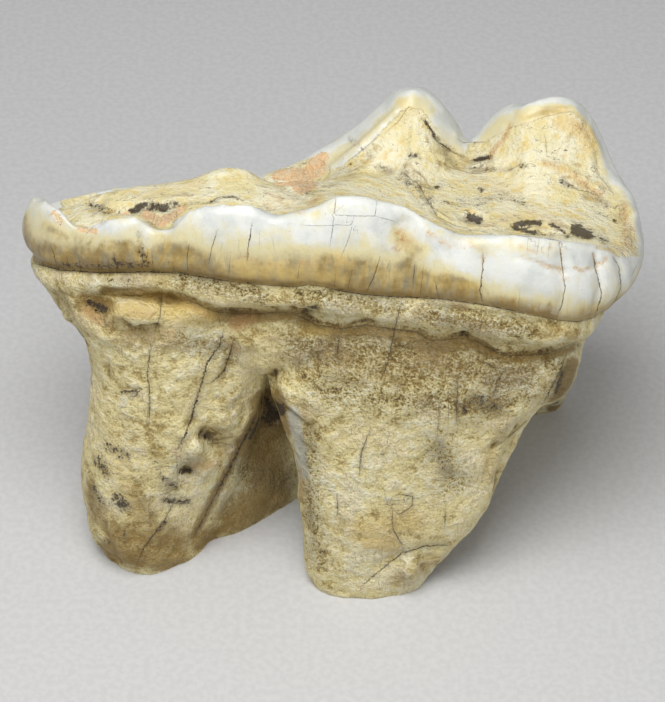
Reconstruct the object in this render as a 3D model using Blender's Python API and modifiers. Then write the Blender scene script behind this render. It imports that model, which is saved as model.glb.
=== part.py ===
"""A fossil cave bear molar (upper second molar) standing on its broken root tips.

The tooth is drawn in its own frame, in millimetres: X runs from the worn heel to the front end,
Y from the tongue side to the cheek side, and Z from the roots to the cusps. The crown is a loft
of rings round one upright line, the four roots are lofts of rounded sections, and all of them
are fused, uneven with small lumps and hollows, leant back onto the root tips and cut flat there.
"""

import math

import bmesh
import bpy
import numpy as np
from mathutils import Matrix, Vector

NAME = "cave_bear_tooth"
MM = 0.001

# ---- driving dimensions, millimetres and degrees ----
LEAN = 14.0  # how far the tooth leans back towards its cheek side when it stands
NECK_TO_GROUND = 16.785  # from the drawing's zero height down to the ground, when it leans
CELL = 0.4  # size of the cells that fuse the crown and the roots
SOFTENING = 8  # rounds of smoothing on the fused surface
TRIANGLES = 9200
ROUGHNESS_SIZE = 2.4
ROUGHNESS_DEPTH = 0.16

CROWN_COLUMNS = 360
CHEWING_ROWS = 40
ROOT_COLUMNS = 72
ROOT_ROWS = 60
ROOT_SQUARENESS = 2.5

# The crown's upright line (x, y), from which every ring is measured.
CROWN_AXIS = (0.0, 11.6)
# Widest outline (x, y): hind end, tongue side, front end, cheek side.
OUTLINE = (
    (-22.7, 11.3), (-22.0, 8.0), (-19.3, 5.2), (-15.5, 3.7), (-11.5, 2.7), (-7.0, 1.8), (-2.2, 1.0),
    (1.6, 0.6), (4.9, 0.7), (8.2, 0.3), (12.6, 0.0), (16.6, 0.3), (20.2, 2.5), (22.3, 6.8),
    (23.0, 11.6), (22.8, 15.3), (20.8, 19.6), (17.5, 22.4), (14.3, 23.6), (10.4, 23.2), (6.2, 23.8),
    (1.8, 22.9), (-3.2, 21.3), (-8.5, 19.8), (-13.5, 18.5), (-18.0, 16.9), (-21.3, 14.4),
)
# Height of the rim's crest along the two long sides (x, z). The tongue side's is chipped.
TONGUE_RIM = (
    (-23.0, 12.2), (-22.2, 12.4), (-21.3, 12.8), (-20.3, 13.3), (-19.3, 13.3), (-18.4, 12.6),
    (-17.6, 12.5), (-16.5, 13.2), (-14.8, 13.8), (-13.6, 13.9), (-12.7, 13.2), (-11.8, 13.1),
    (-10.7, 14.3), (-9.5, 15.0), (-7.0, 15.5), (-5.5, 15.5), (-4.0, 14.9), (-2.5, 15.2),
    (-1.2, 15.6), (0.0, 16.4), (1.7, 16.6), (3.6, 16.1), (5.4, 15.7), (6.9, 14.7), (8.9, 13.8),
    (11.0, 13.9), (13.8, 13.7), (15.9, 13.3), (17.7, 12.6), (19.3, 11.7), (20.5, 10.7),
    (21.6, 10.5), (23.0, 10.8),
)
# Low along the heel, then the hind cusp, the notch and the front cusp.
CHEEK_RIM = (
    (-23.0, 12.2), (-21.0, 11.1), (-16.0, 10.6), (-10.0, 10.5), (-5.0, 10.5), (-2.4, 11.3),
    (-0.6, 12.3), (0.8, 13.1), (2.4, 14.3), (3.9, 15.8), (5.2, 17.2), (6.1, 17.5), (7.2, 16.9),
    (8.4, 15.6), (9.6, 13.8), (10.3, 12.5), (11.0, 13.1), (12.2, 14.7), (13.2, 15.8), (14.6, 16.8),
    (16.2, 17.1), (17.2, 17.0), (18.3, 16.4), (19.2, 15.2), (20.0, 13.6), (20.9, 11.9),
    (21.9, 11.2), (23.0, 10.8),
)
# How far the crest lies inside the widest outline (x, inset).
TONGUE_INSET = (
    (-23.0, 1.6), (-19.0, 1.0), (-12.0, 1.0), (0.0, 1.3), (8.0, 1.5), (15.0, 1.7), (20.0, 1.7), (23.0, 1.1),
)
CHEEK_INSET = (
    (-23.0, 1.6), (-16.0, 1.8), (-9.0, 2.2), (-3.0, 2.8), (0.5, 3.6), (3.5, 4.6), (6.1, 5.3), (8.4, 4.4),
    (10.3, 3.3), (12.5, 4.7), (15.0, 5.5), (17.5, 5.1), (19.5, 3.2), (21.5, 1.7), (23.0, 1.1),
)
# How far in from the crest the chewing face has come down to its floor (x, run).
TONGUE_RUN = ((-23.0, 1.2), (23.0, 1.2))
CHEEK_RUN = (
    (-23.0, 1.6), (-4.0, 2.0), (0.0, 3.5), (4.0, 5.2), (6.1, 6.0), (8.5, 4.5), (10.3, 3.0), (12.5, 4.6),
    (16.5, 5.6), (19.5, 3.5), (23.0, 1.5),
)
# Height of the chewing face's floor along the tooth (x, z), and where the heel's crest runs (y).
FLOOR = (
    (-23.0, 11.2), (-20.0, 11.1), (-18.0, 12.0), (-15.0, 12.75), (-12.5, 13.3), (-9.5, 13.75), (-7.5, 13.95),
    (-5.5, 13.8), (-3.0, 13.5), (-1.0, 13.3), (2.0, 12.9), (6.0, 12.3), (11.0, 11.9), (16.0, 11.7), (19.5, 11.0),
    (21.5, 10.2), (23.0, 10.0),
)
HEEL_CREST = 11.0
# The tongue side's cusp is worn down to a slope behind its crest: middle (x, y), spread (x, y), height.
WORN_CUSP = (1.8, 1.0, 4.6, 6.5, 3.0)
# Height of the neck, where the enamel ends, on the tongue side (x, z). The cheek side's is lower.
NECK = (
    (-23.0, 8.5), (-19.0, 9.0), (-13.0, 9.8), (-7.0, 9.4), (0.0, 9.35), (5.0, 8.75), (10.0, 8.25),
    (16.0, 7.3), (20.0, 6.8), (23.0, 6.9),
)
CHEEK_NECK_DROP = 1.6
# Wall from crest to neck: inset at the sides, the hind end and the front end, share of the way down.
WALL = (
    (0.72, 0.72, 0.72, 0.06), (0.42, 0.42, 0.42, 0.20), (0.16, 0.16, 0.16, 0.38), (0.02, 0.0, 0.0, 0.56),
    (0.02, 0.0, 0.2, 0.74), (0.14, 0.12, 0.8, 0.88), (0.38, 0.45, 1.2, 0.97), (0.62, 0.7, 1.45, 1.0),
)
TYPICAL_INSET = 1.2
SHOULDER = 0.4  # share of the way down above which the wall follows the crest's own inset
# Under the neck, the ledge and the root trunk: the same three insets, and millimetres below the neck.
BELOW = (
    (0.80, 0.85, 1.9, 0.25), (0.40, 0.5, 2.2, 0.9), (0.42, 0.4, 2.7, 1.7), (1.35, 0.8, 3.3, 2.3),
    (1.75, 1.4, 3.9, 3.0), (1.5, 2.1, 4.2, 4.2), (1.5, 3.4, 4.7, 5.6), (2.0, 4.9, 5.6, 7.2),
    (3.4, 6.8, 6.8, 8.4), (6.0, 9.0, 9.0, 9.2),
)
FORK_ROOF = 0.2
ROOF_SHARES = (0.6, 0.3, 0.0)

# Root sections: height, centre x and y, half length, half thickness, turn in degrees.
ROOTS = {
    "tongue root": (
        (7.0, 7.6, 6.6, 11.2, 5.6, 0), (3.0, 7.2, 6.2, 11.2, 5.0, 0), (0.0, 6.0, 5.8, 10.6, 4.7, 0),
        (-3.0, 5.4, 5.6, 9.2, 4.3, 0), (-6.5, 5.2, 5.3, 7.9, 3.9, 0), (-10.0, 4.6, 4.9, 7.0, 3.5, 0),
        (-13.0, 3.6, 4.4, 5.8, 2.9, 0), (-15.6, 2.7, 4.1, 4.7, 2.3, 0), (-17.4, 2.5, 4.0, 3.6, 1.7, 0),
    ),
    "heel root": (
        (7.0, -11.0, 8.6, 8.4, 5.6, 8), (3.0, -11.2, 8.4, 7.2, 5.2, 8), (0.0, -11.2, 8.3, 6.6, 4.9, 10),
        (-4.0, -11.8, 8.2, 6.5, 4.6, 14), (-8.0, -12.6, 8.1, 6.3, 4.3, 20), (-11.5, -13.2, 8.1, 5.6, 3.9, 26),
        (-13.6, -13.6, 7.8, 5.0, 3.5, 31), (-15.2, -13.4, 7.6, 4.2, 2.9, 32), (-17.4, -13.2, 7.4, 2.8, 2.2, 32),
    ),
    "hind cheek root": (
        (7.0, -4.5, 15.5, 9.5, 5.4, 8), (2.0, -3.5, 15.4, 8.6, 5.0, 14), (-3.0, -4.0, 15.0, 8.2, 4.4, 24),
        (-8.0, -5.2, 14.2, 8.0, 3.8, 33), (-12.0, -6.0, 13.5, 7.6, 3.4, 38), (-14.6, -6.4, 13.1, 7.0, 3.0, 40),
        (-16.2, -6.6, 12.9, 6.2, 2.6, 40),
    ),
    "front cheek root": (
        (6.0, 14.0, 16.6, 6.2, 5.2, -10), (1.0, 14.2, 16.8, 5.4, 4.6, -8), (-3.0, 14.5, 17.4, 4.7, 4.0, -5),
        (-6.0, 14.7, 18.8, 4.2, 3.4, 0), (-8.5, 15.0, 20.7, 3.8, 2.8, 5), (-10.8, 15.5, 22.4, 3.2, 2.0, 8),
        (-12.6, 15.7, 23.5, 2.4, 1.4, 8),
    ),
}

# Lumps (height above 0) and hollows (below 0): two end points, radius, height.
RELIEF = {
    "furrows between the enamel lobes": (
        ((5.2, 1.4, 14.6), (5.8, 0.6, 9.4), 0.9, -0.5), ((10.4, 0.4, 12.2), (10.5, 0.2, 8.9), 0.6, -0.25),
        ((15.9, 0.7, 12.2), (16.0, 0.3, 8.3), 0.6, -0.25), ((18.6, 2.0, 11.4), (18.9, 1.5, 8.1), 0.6, -0.25),
        ((20.4, 3.6, 10.6), (20.7, 3.3, 7.7), 0.6, -0.25), ((-19.0, 5.4, 12.2), (-18.6, 5.0, 10.0), 0.9, -0.4),
        ((-13.2, 3.6, 13.4), (-13.3, 3.0, 11.8), 0.8, -0.3),
    ),
    "swell of the enamel lobes": (
        ((8.0, 0.2, 11.6), (8.0, 0.2, 10.0), 1.5, 0.2), ((13.2, 0.0, 11.4), (13.2, 0.0, 9.6), 1.8, 0.15),
        ((-1.0, 1.0, 12.6), (2.0, 0.6, 12.0), 2.4, 0.2), ((-9.0, 2.2, 13.0), (-6.0, 1.6, 13.0), 1.8, 0.15),
    ),
    "heel end under the ledge": (
        ((-17.8, 4.4, 6.7), (-16.9, 4.0, 6.6), 0.9, -0.9), ((-14.8, 3.2, 6.7), (-13.2, 3.1, 6.5), 1.3, 0.5),
        ((-15.0, 3.1, 5.4), (-12.6, 2.9, 4.9), 0.7, -0.4), ((-10.4, 3.2, 7.0), (-9.6, 3.2, 7.1), 1.2, 0.35),
        ((-7.0, 3.1, 6.1), (-6.2, 3.1, 5.8), 1.0, -0.45), ((-19.3, 6.2, 6.4), (-18.2, 5.0, 6.0), 0.8, 0.35),
    ),
    "heel root": (
        ((-10.4, 3.9, -4.9), (-10.3, 3.9, -4.6), 0.8, 0.55), ((-11.2, 3.5, -3.3), (-11.1, 3.5, -3.0), 0.7, 0.35),
        ((-9.3, 4.3, -3.8), (-8.0, 4.8, -5.2), 1.0, -0.6), ((-10.8, 4.0, -6.8), (-10.7, 4.0, -7.2), 0.6, -0.35),
        ((-8.6, 3.6, 0.5), (-9.2, 3.8, -2.4), 1.1, -0.25), ((-6.3, 4.2, 1.2), (-7.6, 4.6, -3.0), 1.0, 0.3),
        ((-17.2, 5.2, -13.8), (-15.8, 4.6, -15.4), 1.0, -0.25),
    ),
    "tongue root": (
        ((2.5, 1.4, 4.6), (10.5, 1.2, 3.8), 2.0, -0.5), ((1.5, 1.8, -6.0), (2.2, 1.6, -12.0), 2.0, 0.25),
        ((4.6, 1.6, -13.5), (7.6, 2.0, -13.3), 1.4, -0.45), ((5.8, 1.8, -14.1), (5.9, 1.8, -14.4), 0.8, 0.5),
        ((12.3, 2.3, -3.0), (11.4, 2.6, -8.0), 0.9, 0.3), ((13.4, 3.0, -3.2), (12.2, 3.4, -8.2), 0.7, -0.4),
    ),
    "front cheek root": (((17.3, 15.5, -2.0), (17.1, 18.9, -9.0), 0.7, -0.5),),
    "worn pits of the chewing face": (
        ((-15.6, 8.3, 12.6), (-13.4, 7.9, 12.8), 0.6, -0.5), ((-17.6, 10.1, 12.4), (-17.0, 10.0, 12.4), 0.6, -0.35),
        ((10.0, 8.7, 11.6), (10.5, 8.7, 11.6), 0.7, -0.6), ((13.1, 7.1, 11.5), (15.6, 6.9, 11.4), 0.8, -0.5),
        ((17.2, 7.6, 11.1), (17.9, 7.2, 11.0), 0.7, -0.3),
    ),
    "worn cusps along the heel's crest": (
        ((-8.2, 11.2, 14.0), (-6.6, 11.2, 14.0), 1.4, 0.6), ((-4.6, 11.6, 13.6), (-4.2, 12.4, 13.2), 1.2, -0.4),
        ((-17.0, 10.8, 12.4), (-14.5, 11.0, 12.8), 1.0, 0.2),
    ),
    "facets on the hind cusp": (
        ((5.0, 17.6, 16.4), (1.6, 17.0, 13.8), 0.7, 0.3), ((5.2, 16.4, 15.6), (4.8, 14.6, 13.6), 1.5, -0.6),
        ((2.6, 15.8, 13.8), (1.2, 15.2, 13.4), 1.2, -0.3), ((7.0, 17.8, 15.8), (8.8, 18.4, 13.8), 0.6, 0.25),
    ),
    "facets on the front cusp": (
        ((13.3, 17.3, 14.9), (17.6, 17.5, 16.0), 0.6, 0.25), ((17.8, 17.9, 15.8), (19.6, 16.6, 13.4), 0.6, 0.25),
        ((15.4, 16.4, 14.8), (15.6, 14.6, 13.0), 1.8, -0.6), ((17.6, 15.6, 13.8), (18.2, 14.8, 13.0), 1.2, -0.3),
    ),
    "folds at the foot of the cusps": (
        ((5.9, 17.4, 15.6), (8.1, 17.6, 13.1), 0.7, -0.4), ((8.1, 17.6, 13.1), (10.4, 15.9, 12.6), 0.7, -0.35),
        ((12.5, 16.2, 12.2), (18.5, 15.4, 11.8), 0.7, 0.3), ((3.0, 14.6, 12.8), (4.0, 15.0, 12.9), 0.8, -0.4),
        ((-2.4, 17.6, 11.0), (-0.9, 17.2, 11.8), 1.3, -0.4), ((-3.4, 13.2, 12.6), (-0.4, 12.8, 12.6), 0.6, -0.35),
    ),
}

BONE = (0.52, 0.42, 0.25, 1.0)
BONE_ROUGHNESS = 0.6


# ---- curves ----
def flow(points, at):
    """Smooth curve through points (position, value), with the slope of the neighbours' chord."""
    table = np.asarray(points, float)
    place, value = table[:, 0], table[:, 1]
    slope = np.gradient(value, place)
    at = np.clip(at, place[0], place[-1])
    i = np.clip(np.searchsorted(place, at) - 1, 0, len(place) - 2)
    step = place[i + 1] - place[i]
    t = (at - place[i]) / step
    rise = t * t * (3 - 2 * t)
    bend = t * (1 - t)
    return value[i] * (1 - rise) + value[i + 1] * rise + step * bend * (slope[i] * (1 - t) - slope[i + 1] * t)


def ease(low, high, at):
    """0 below low and 1 above high, with a soft change between them."""
    t = np.clip((at - low) / (high - low), 0, 1)
    return t * t * (3 - 2 * t)


# ---- crown ----
def widest(angle):
    """Point of the widest outline that lies in a direction from the crown's axis."""
    away = np.array(OUTLINE) - np.array(CROWN_AXIS)
    turn = np.unwrap(np.arctan2(away[:, 1], away[:, 0]))
    reach = np.hypot(away[:, 0], away[:, 1])
    laps = np.concatenate([turn - math.tau, turn, turn + math.tau])
    radius = flow(np.stack([laps, np.tile(reach, 3)], 1), angle)
    return CROWN_AXIS[0] + radius * np.cos(angle), CROWN_AXIS[1] + radius * np.sin(angle)


def outward(angle, nudge=0.001):
    """Direction straight out of the outline, seen from above."""
    x0, y0 = widest(angle - nudge)
    x1, y1 = widest(angle + nudge)
    length = np.hypot(x1 - x0, y1 - y0)
    return (y1 - y0) / length, (x0 - x1) / length


def floor_height(x, y):
    """The chewing face's floor: a long heel that falls away behind its crest, and a basin in front."""
    heel = 1 - ease(-3.0, 3.0, x)
    behind = np.clip(y - HEEL_CREST, 0, None)
    before = np.clip(HEEL_CREST - y, 0, None)
    heel_dip = 0.62 * behind + 0.035 * before + 0.3 * np.exp(-(((y - 6.0) / 1.6) ** 2))
    basin_dip = 0.35 * np.exp(-(((y - 8.0) / 4.0) ** 2))
    middle_x, middle_y, spread_x, spread_y, height = WORN_CUSP
    cusp = height * np.exp(-(((x - middle_x) / spread_x) ** 2) - ((y - middle_y) / spread_y) ** 2)
    return flow(FLOOR, x) + cusp - heel * heel_dip - (1 - heel) * basin_dip


def chewing_height(x, y, rims):
    """The chewing face: its floor, raised softly towards the crests of the two long sides."""
    floor = floor_height(x, y)
    lifts, raised = 0.0, 0.0
    for (rim_x, rim_y, rim_z, facing), run in rims:
        gap = abs(y - np.interp(x, rim_x, rim_y)) * np.interp(x, rim_x, facing)
        near = 1 - np.clip(gap / flow(run, x), 0, 1)
        lift = (ease(0, 1, near) + near**1.3) / 2
        lifts = lifts + lift
        raised = raised + lift * (np.interp(x, rim_x, rim_z) - floor)
    return floor + raised / np.maximum(lifts, 1)


def crown_rings():
    """Rings of the crown, from the middle of the chewing face over the rim to the roof of the forks."""
    angle = np.linspace(-math.pi, math.pi, CROWN_COLUMNS, endpoint=False)
    wide_x, wide_y = widest(angle)
    out_x, out_y = outward(angle)
    cheek = ease(-1.5, 1.5, wide_y - CROWN_AXIS[1])
    inset = (1 - cheek) * flow(TONGUE_INSET, wide_x) + cheek * flow(CHEEK_INSET, wide_x)
    rim_x, rim_y = wide_x - inset * out_x, wide_y - inset * out_y
    rim_z = (1 - cheek) * flow(TONGUE_RIM, rim_x) + cheek * flow(CHEEK_RIM, rim_x)
    neck = flow(NECK, wide_x) - CHEEK_NECK_DROP * cheek
    end = out_x**2
    front = ease(-6.0, 6.0, wide_x)
    rims = []
    for side, run in ((cheek < 0.5, TONGUE_RUN), (cheek >= 0.5, CHEEK_RUN)):
        order = np.argsort(rim_x[side])
        rims.append(([line[side][order] for line in (rim_x, rim_y, rim_z, abs(out_y))], run))

    rings = []
    for share in 1 - np.linspace(1, 0, CHEWING_ROWS) ** 1.6:
        x = CROWN_AXIS[0] + share * (rim_x - CROWN_AXIS[0])
        y = CROWN_AXIS[1] + share * (rim_y - CROWN_AXIS[1])
        rings.append((x, y, chewing_height(x, y, rims)))
    for side_in, hind_in, front_in, down in WALL:
        depth = side_in + ((1 - front) * hind_in + front * front_in - side_in) * end
        if down < SHOULDER:
            depth = depth * inset / TYPICAL_INSET
        rings.append((wide_x - depth * out_x, wide_y - depth * out_y, rim_z - down * (rim_z - neck)))
    for side_in, hind_in, front_in, drop in BELOW:
        depth = side_in + ((1 - front) * hind_in + front * front_in - side_in) * end
        rings.append((wide_x - depth * out_x, wide_y - depth * out_y, neck - drop))
    last_x, last_y, _ = rings[-1]
    for share in ROOF_SHARES:
        x = CROWN_AXIS[0] + share * (last_x - CROWN_AXIS[0])
        y = CROWN_AXIS[1] + share * (last_y - CROWN_AXIS[1])
        rings.append((x, y, np.full_like(x, FORK_ROOF)))
    return np.array([np.stack(ring, 1) for ring in rings])


# ---- roots ----
def root_rings(sections):
    """Rounded sections of one root, from its tip up into the crown."""
    sections = np.array(sections)[::-1]
    knots = np.linspace(0, 1, len(sections))
    rows = np.linspace(0, 1, ROOT_ROWS)
    height, centre_x, centre_y, half_length, half_thick, turn = (
        flow(np.stack([knots, column], 1), rows)[:, None] for column in sections.T
    )
    angle = np.linspace(0, math.tau, ROOT_COLUMNS, endpoint=False)
    cos, sin = np.cos(angle), np.sin(angle)
    radius = (abs(cos) ** ROOT_SQUARENESS + abs(sin) ** ROOT_SQUARENESS) ** (-1 / ROOT_SQUARENESS)
    along, across = half_length * radius * cos, half_thick * radius * sin
    turn = np.radians(turn)
    x = centre_x + along * np.cos(turn) - across * np.sin(turn)
    y = centre_y + along * np.sin(turn) + across * np.cos(turn)
    return np.stack([x, y, np.broadcast_to(height, x.shape)], 2)


# ---- meshes ----
def loft(name, rings, collection):
    """Closed mesh object through rings of equal point counts, each end closed by a fan."""
    rows, columns, _ = rings.shape
    points = np.concatenate([rings.reshape(-1, 3), rings[0].mean(0)[None], rings[-1].mean(0)[None]]) * MM
    first, last = rows * columns, rows * columns + 1
    row = np.arange(rows - 1)[:, None] * columns
    this = np.arange(columns)[None, :]
    after = (this + 1) % columns
    quads = np.stack([row + this, row + after, row + columns + after, row + columns + this], 2)
    this, after = this[0], after[0]
    top = (rows - 1) * columns
    fans = np.concatenate([
        np.stack([np.full(columns, first), after, this], 1),
        np.stack([np.full(columns, last), top + this, top + after], 1),
    ])
    mesh = bpy.data.meshes.new(name)
    mesh.from_pydata(points.tolist(), [], quads.reshape(-1, 4).tolist() + fans.tolist())
    cleaned = bmesh.new()
    cleaned.from_mesh(mesh)
    bmesh.ops.remove_doubles(cleaned, verts=cleaned.verts, dist=1e-7)
    bmesh.ops.recalc_face_normals(cleaned, faces=cleaned.faces)
    cleaned.to_mesh(mesh)
    cleaned.free()
    piece = bpy.data.objects.new(name, mesh)
    collection.objects.link(piece)
    return piece


def join(pieces, name):
    """One object holding every piece's mesh."""
    whole = bmesh.new()
    for piece in pieces:
        whole.from_mesh(piece.data)
    mesh = bpy.data.meshes.new(name)
    whole.to_mesh(mesh)
    whole.free()
    joined = bpy.data.objects.new(name, mesh)
    pieces[0].users_collection[0].objects.link(joined)
    for piece in pieces:
        bpy.data.objects.remove(piece)
    return joined


def settle(thing):
    """Replaces the object's mesh by what its modifiers make of it."""
    bpy.context.view_layer.update()
    seen = thing.evaluated_get(bpy.context.evaluated_depsgraph_get())
    mesh = bpy.data.meshes.new_from_object(seen)
    thing.modifiers.clear()
    thing.data = mesh


def fuse(thing):
    """Crown and roots become one skin, with soft joints between them."""
    cells = thing.modifiers.new("fuse", "REMESH")
    cells.mode = "VOXEL"
    cells.voxel_size = CELL * MM
    soften = thing.modifiers.new("soften", "SMOOTH")
    soften.factor = 0.5
    soften.iterations = SOFTENING
    settle(thing)


def read_points(mesh):
    points = np.empty(len(mesh.vertices) * 3)
    mesh.vertices.foreach_get("co", points)
    return points.reshape(-1, 3)


def read_normals(mesh):
    normals = np.empty(len(mesh.vertices) * 3)
    mesh.vertex_normals.foreach_get("vector", normals)
    return normals.reshape(-1, 3)


def carve(thing):
    """Raises the lumps and sinks the hollows along the surface's own direction."""
    mesh = thing.data
    points = read_points(mesh) / MM
    lift = np.zeros(len(points))
    for features in RELIEF.values():
        for start, stop, radius, height in features:
            start, stop = np.array(start), np.array(stop)
            along = stop - start
            share = np.clip((points - start) @ along / (along @ along), 0, 1)
            distance = np.linalg.norm(points - start - share[:, None] * along, axis=1)
            lift += height * np.exp(-((distance / radius) ** 2))
    moved = (points + lift[:, None] * read_normals(mesh)) * MM
    mesh.vertices.foreach_set("co", moved.ravel())
    mesh.update()


def roughen_roots(thing):
    """Slow unevenness on everything below the neck, which the enamel doesn't have."""
    heights = read_points(thing.data)[:, 2] / MM
    group = thing.vertex_groups.new(name="below the neck")
    below = np.nonzero(heights < flow(NECK, read_points(thing.data)[:, 0] / MM) - 0.5)[0]
    group.add(below.tolist(), 1.0, "REPLACE")
    clouds = bpy.data.textures.new("root unevenness", "CLOUDS")
    clouds.noise_scale = ROUGHNESS_SIZE * MM
    displace = thing.modifiers.new("uneven roots", "DISPLACE")
    displace.texture = clouds
    displace.texture_coords = "LOCAL"
    displace.vertex_group = group.name
    displace.mid_level = 0.5
    displace.strength = 2 * ROUGHNESS_DEPTH * MM
    settle(thing)


def thin_out(thing):
    """Keeps the number of facets that holds the form."""
    corners = np.empty(len(thing.data.polygons), int)
    thing.data.polygons.foreach_get("loop_total", corners)
    decimate = thing.modifiers.new("thin out", "DECIMATE")
    decimate.ratio = TRIANGLES / float((corners - 2).sum())
    settle(thing)


def lean_back(thing):
    """Tips the tooth onto its roots, with the ground at zero height."""
    thing.data.transform(Matrix.Rotation(-math.radians(LEAN), 4, "X"))
    thing.data.transform(Matrix.Translation((0, 0, NECK_TO_GROUND * MM)))


def cut_tips(thing, cutters):
    """Takes off what reaches below the ground, which leaves a flat facet on each root tip."""
    bpy.ops.mesh.primitive_cube_add(size=1)
    slab = bpy.context.object
    slab.name = "ground slab"
    for holder in slab.users_collection:
        holder.objects.unlink(slab)
    cutters.objects.link(slab)
    slab.data.transform(Matrix.Diagonal((80 * MM, 60 * MM, 20 * MM, 1)))
    slab.data.transform(Matrix.Translation((0, 0, -10 * MM)))
    slab.hide_render = True
    slab.display_type = "WIRE"
    cut = thing.modifiers.new("flat tips", "BOOLEAN")
    cut.operation = "DIFFERENCE"
    cut.solver = "EXACT"
    cut.object = slab
    settle(thing)


def centre_over_base(thing):
    points = read_points(thing.data)
    middle = (points.min(0) + points.max(0)) / 2
    thing.data.transform(Matrix.Translation(Vector((-middle[0], -middle[1], -points[:, 2].min()))))


def bone_material():
    material = bpy.data.materials.new("fossil tooth")
    material.use_nodes = True
    shader = material.node_tree.nodes["Principled BSDF"]
    shader.inputs["Base Color"].default_value = BONE
    shader.inputs["Roughness"].default_value = BONE_ROUGHNESS
    shader.inputs["Metallic"].default_value = 0.0
    material.diffuse_color = BONE
    return material


def new_collection(name):
    collection = bpy.data.collections.new(name)
    bpy.context.scene.collection.children.link(collection)
    return collection


def main():
    for leftover in list(bpy.data.objects):
        bpy.data.objects.remove(leftover)
    collection = new_collection("Cave bear tooth")
    cutters = new_collection("Cutters")

    pieces = [loft("crown", crown_rings(), collection)]
    pieces += [loft(name, root_rings(sections), collection) for name, sections in ROOTS.items()]
    tooth = join(pieces, NAME)
    fuse(tooth)
    carve(tooth)
    roughen_roots(tooth)
    thin_out(tooth)
    lean_back(tooth)
    cut_tips(tooth, cutters)
    centre_over_base(tooth)
    tooth.data.name = NAME
    tooth.data.materials.clear()
    tooth.data.materials.append(bone_material())
    tooth.data.shade_smooth()
    tooth.data.set_sharp_from_angle(angle=math.radians(60))


main()
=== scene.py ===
"""Looks of a fossil cave bear molar that stands on its broken root tips.

The tooth is drawn in its own frame, in millimetres: X runs from the worn heel to the front end,
Y from the tongue side to the cheek side, Z from the roots to the cusps. The crown is a loft of
rings round one upright line and the four roots are lofts of rounded sections. They are fused,
given lumps, grooves and grain, leant back onto the root tips and cut flat there. The finish is
one material that reads where enamel, dentine, clay, stains and cracks lie from the mesh, and
paints shade into hollows, creases, the cave behind the roots and the roots' feet.
"""

import math
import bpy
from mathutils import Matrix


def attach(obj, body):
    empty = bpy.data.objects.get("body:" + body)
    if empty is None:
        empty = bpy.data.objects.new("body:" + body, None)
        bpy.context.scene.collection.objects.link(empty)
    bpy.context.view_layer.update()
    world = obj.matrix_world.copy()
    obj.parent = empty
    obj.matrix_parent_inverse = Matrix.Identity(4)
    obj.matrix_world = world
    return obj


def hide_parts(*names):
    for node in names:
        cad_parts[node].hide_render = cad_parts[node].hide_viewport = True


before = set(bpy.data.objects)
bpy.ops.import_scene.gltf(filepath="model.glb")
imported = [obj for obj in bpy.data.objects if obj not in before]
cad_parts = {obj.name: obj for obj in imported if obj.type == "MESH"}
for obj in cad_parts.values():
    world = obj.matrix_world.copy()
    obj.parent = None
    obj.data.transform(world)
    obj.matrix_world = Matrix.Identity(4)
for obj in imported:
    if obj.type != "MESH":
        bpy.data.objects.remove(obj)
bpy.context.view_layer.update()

from types import SimpleNamespace

import bmesh
import bpy
import numpy as np
from mathutils import Matrix, Vector

bl_info = {
    "name": "Fossil cave bear tooth",
    "version": (1, 0, 0),
    "blender": (4, 5, 0),
    "location": "3D View > Sidebar > Fossil tooth",
    "description": "Builds a fossil cave bear molar, its finish and a plain stage to look at it on",
    "category": "Object",
}

NAME = "cave_bear_tooth"
PIECE = "fossil_cave_bear_molar"
MM = 0.001

# ---- the camera and its frame: pixels from the frame's top left corner, millimetres, degrees ----
FRAME_SIZE = (665, 702)
FOCAL_PIXELS = 2948.0
SENSOR = 36.0
VIEW_AIM = (-0.150, -2.190, 14.366)
VIEW_TILT = 42.0
VIEW_DISTANCE = 220.0
PIXELS_PER_MM = 13.4

# ---- driving dimensions, millimetres and degrees ----
LEAN = 14.0
NECK_TO_GROUND = 16.785
PART_MIDDLE = (0.150, 11.893)  # where the part's origin lies, seen from above, once it leans
CELL = 0.2524
SOFTENING = 14
UNEVENNESS = 0.14
GRAIN = 0.15
RIPPLE = 0.025

CROWN_COLUMNS = 540
CHEWING_ROWS = 60
CHEWING_CROWDING = 1.6  # above 1 the rows of the chewing face crowd towards the rim
ROOT_COLUMNS = 96
ROOT_ROWS = 80
ROOT_SQUARENESS = 2.5
WELD = 1e-7  # metres within which two corners are one

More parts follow.
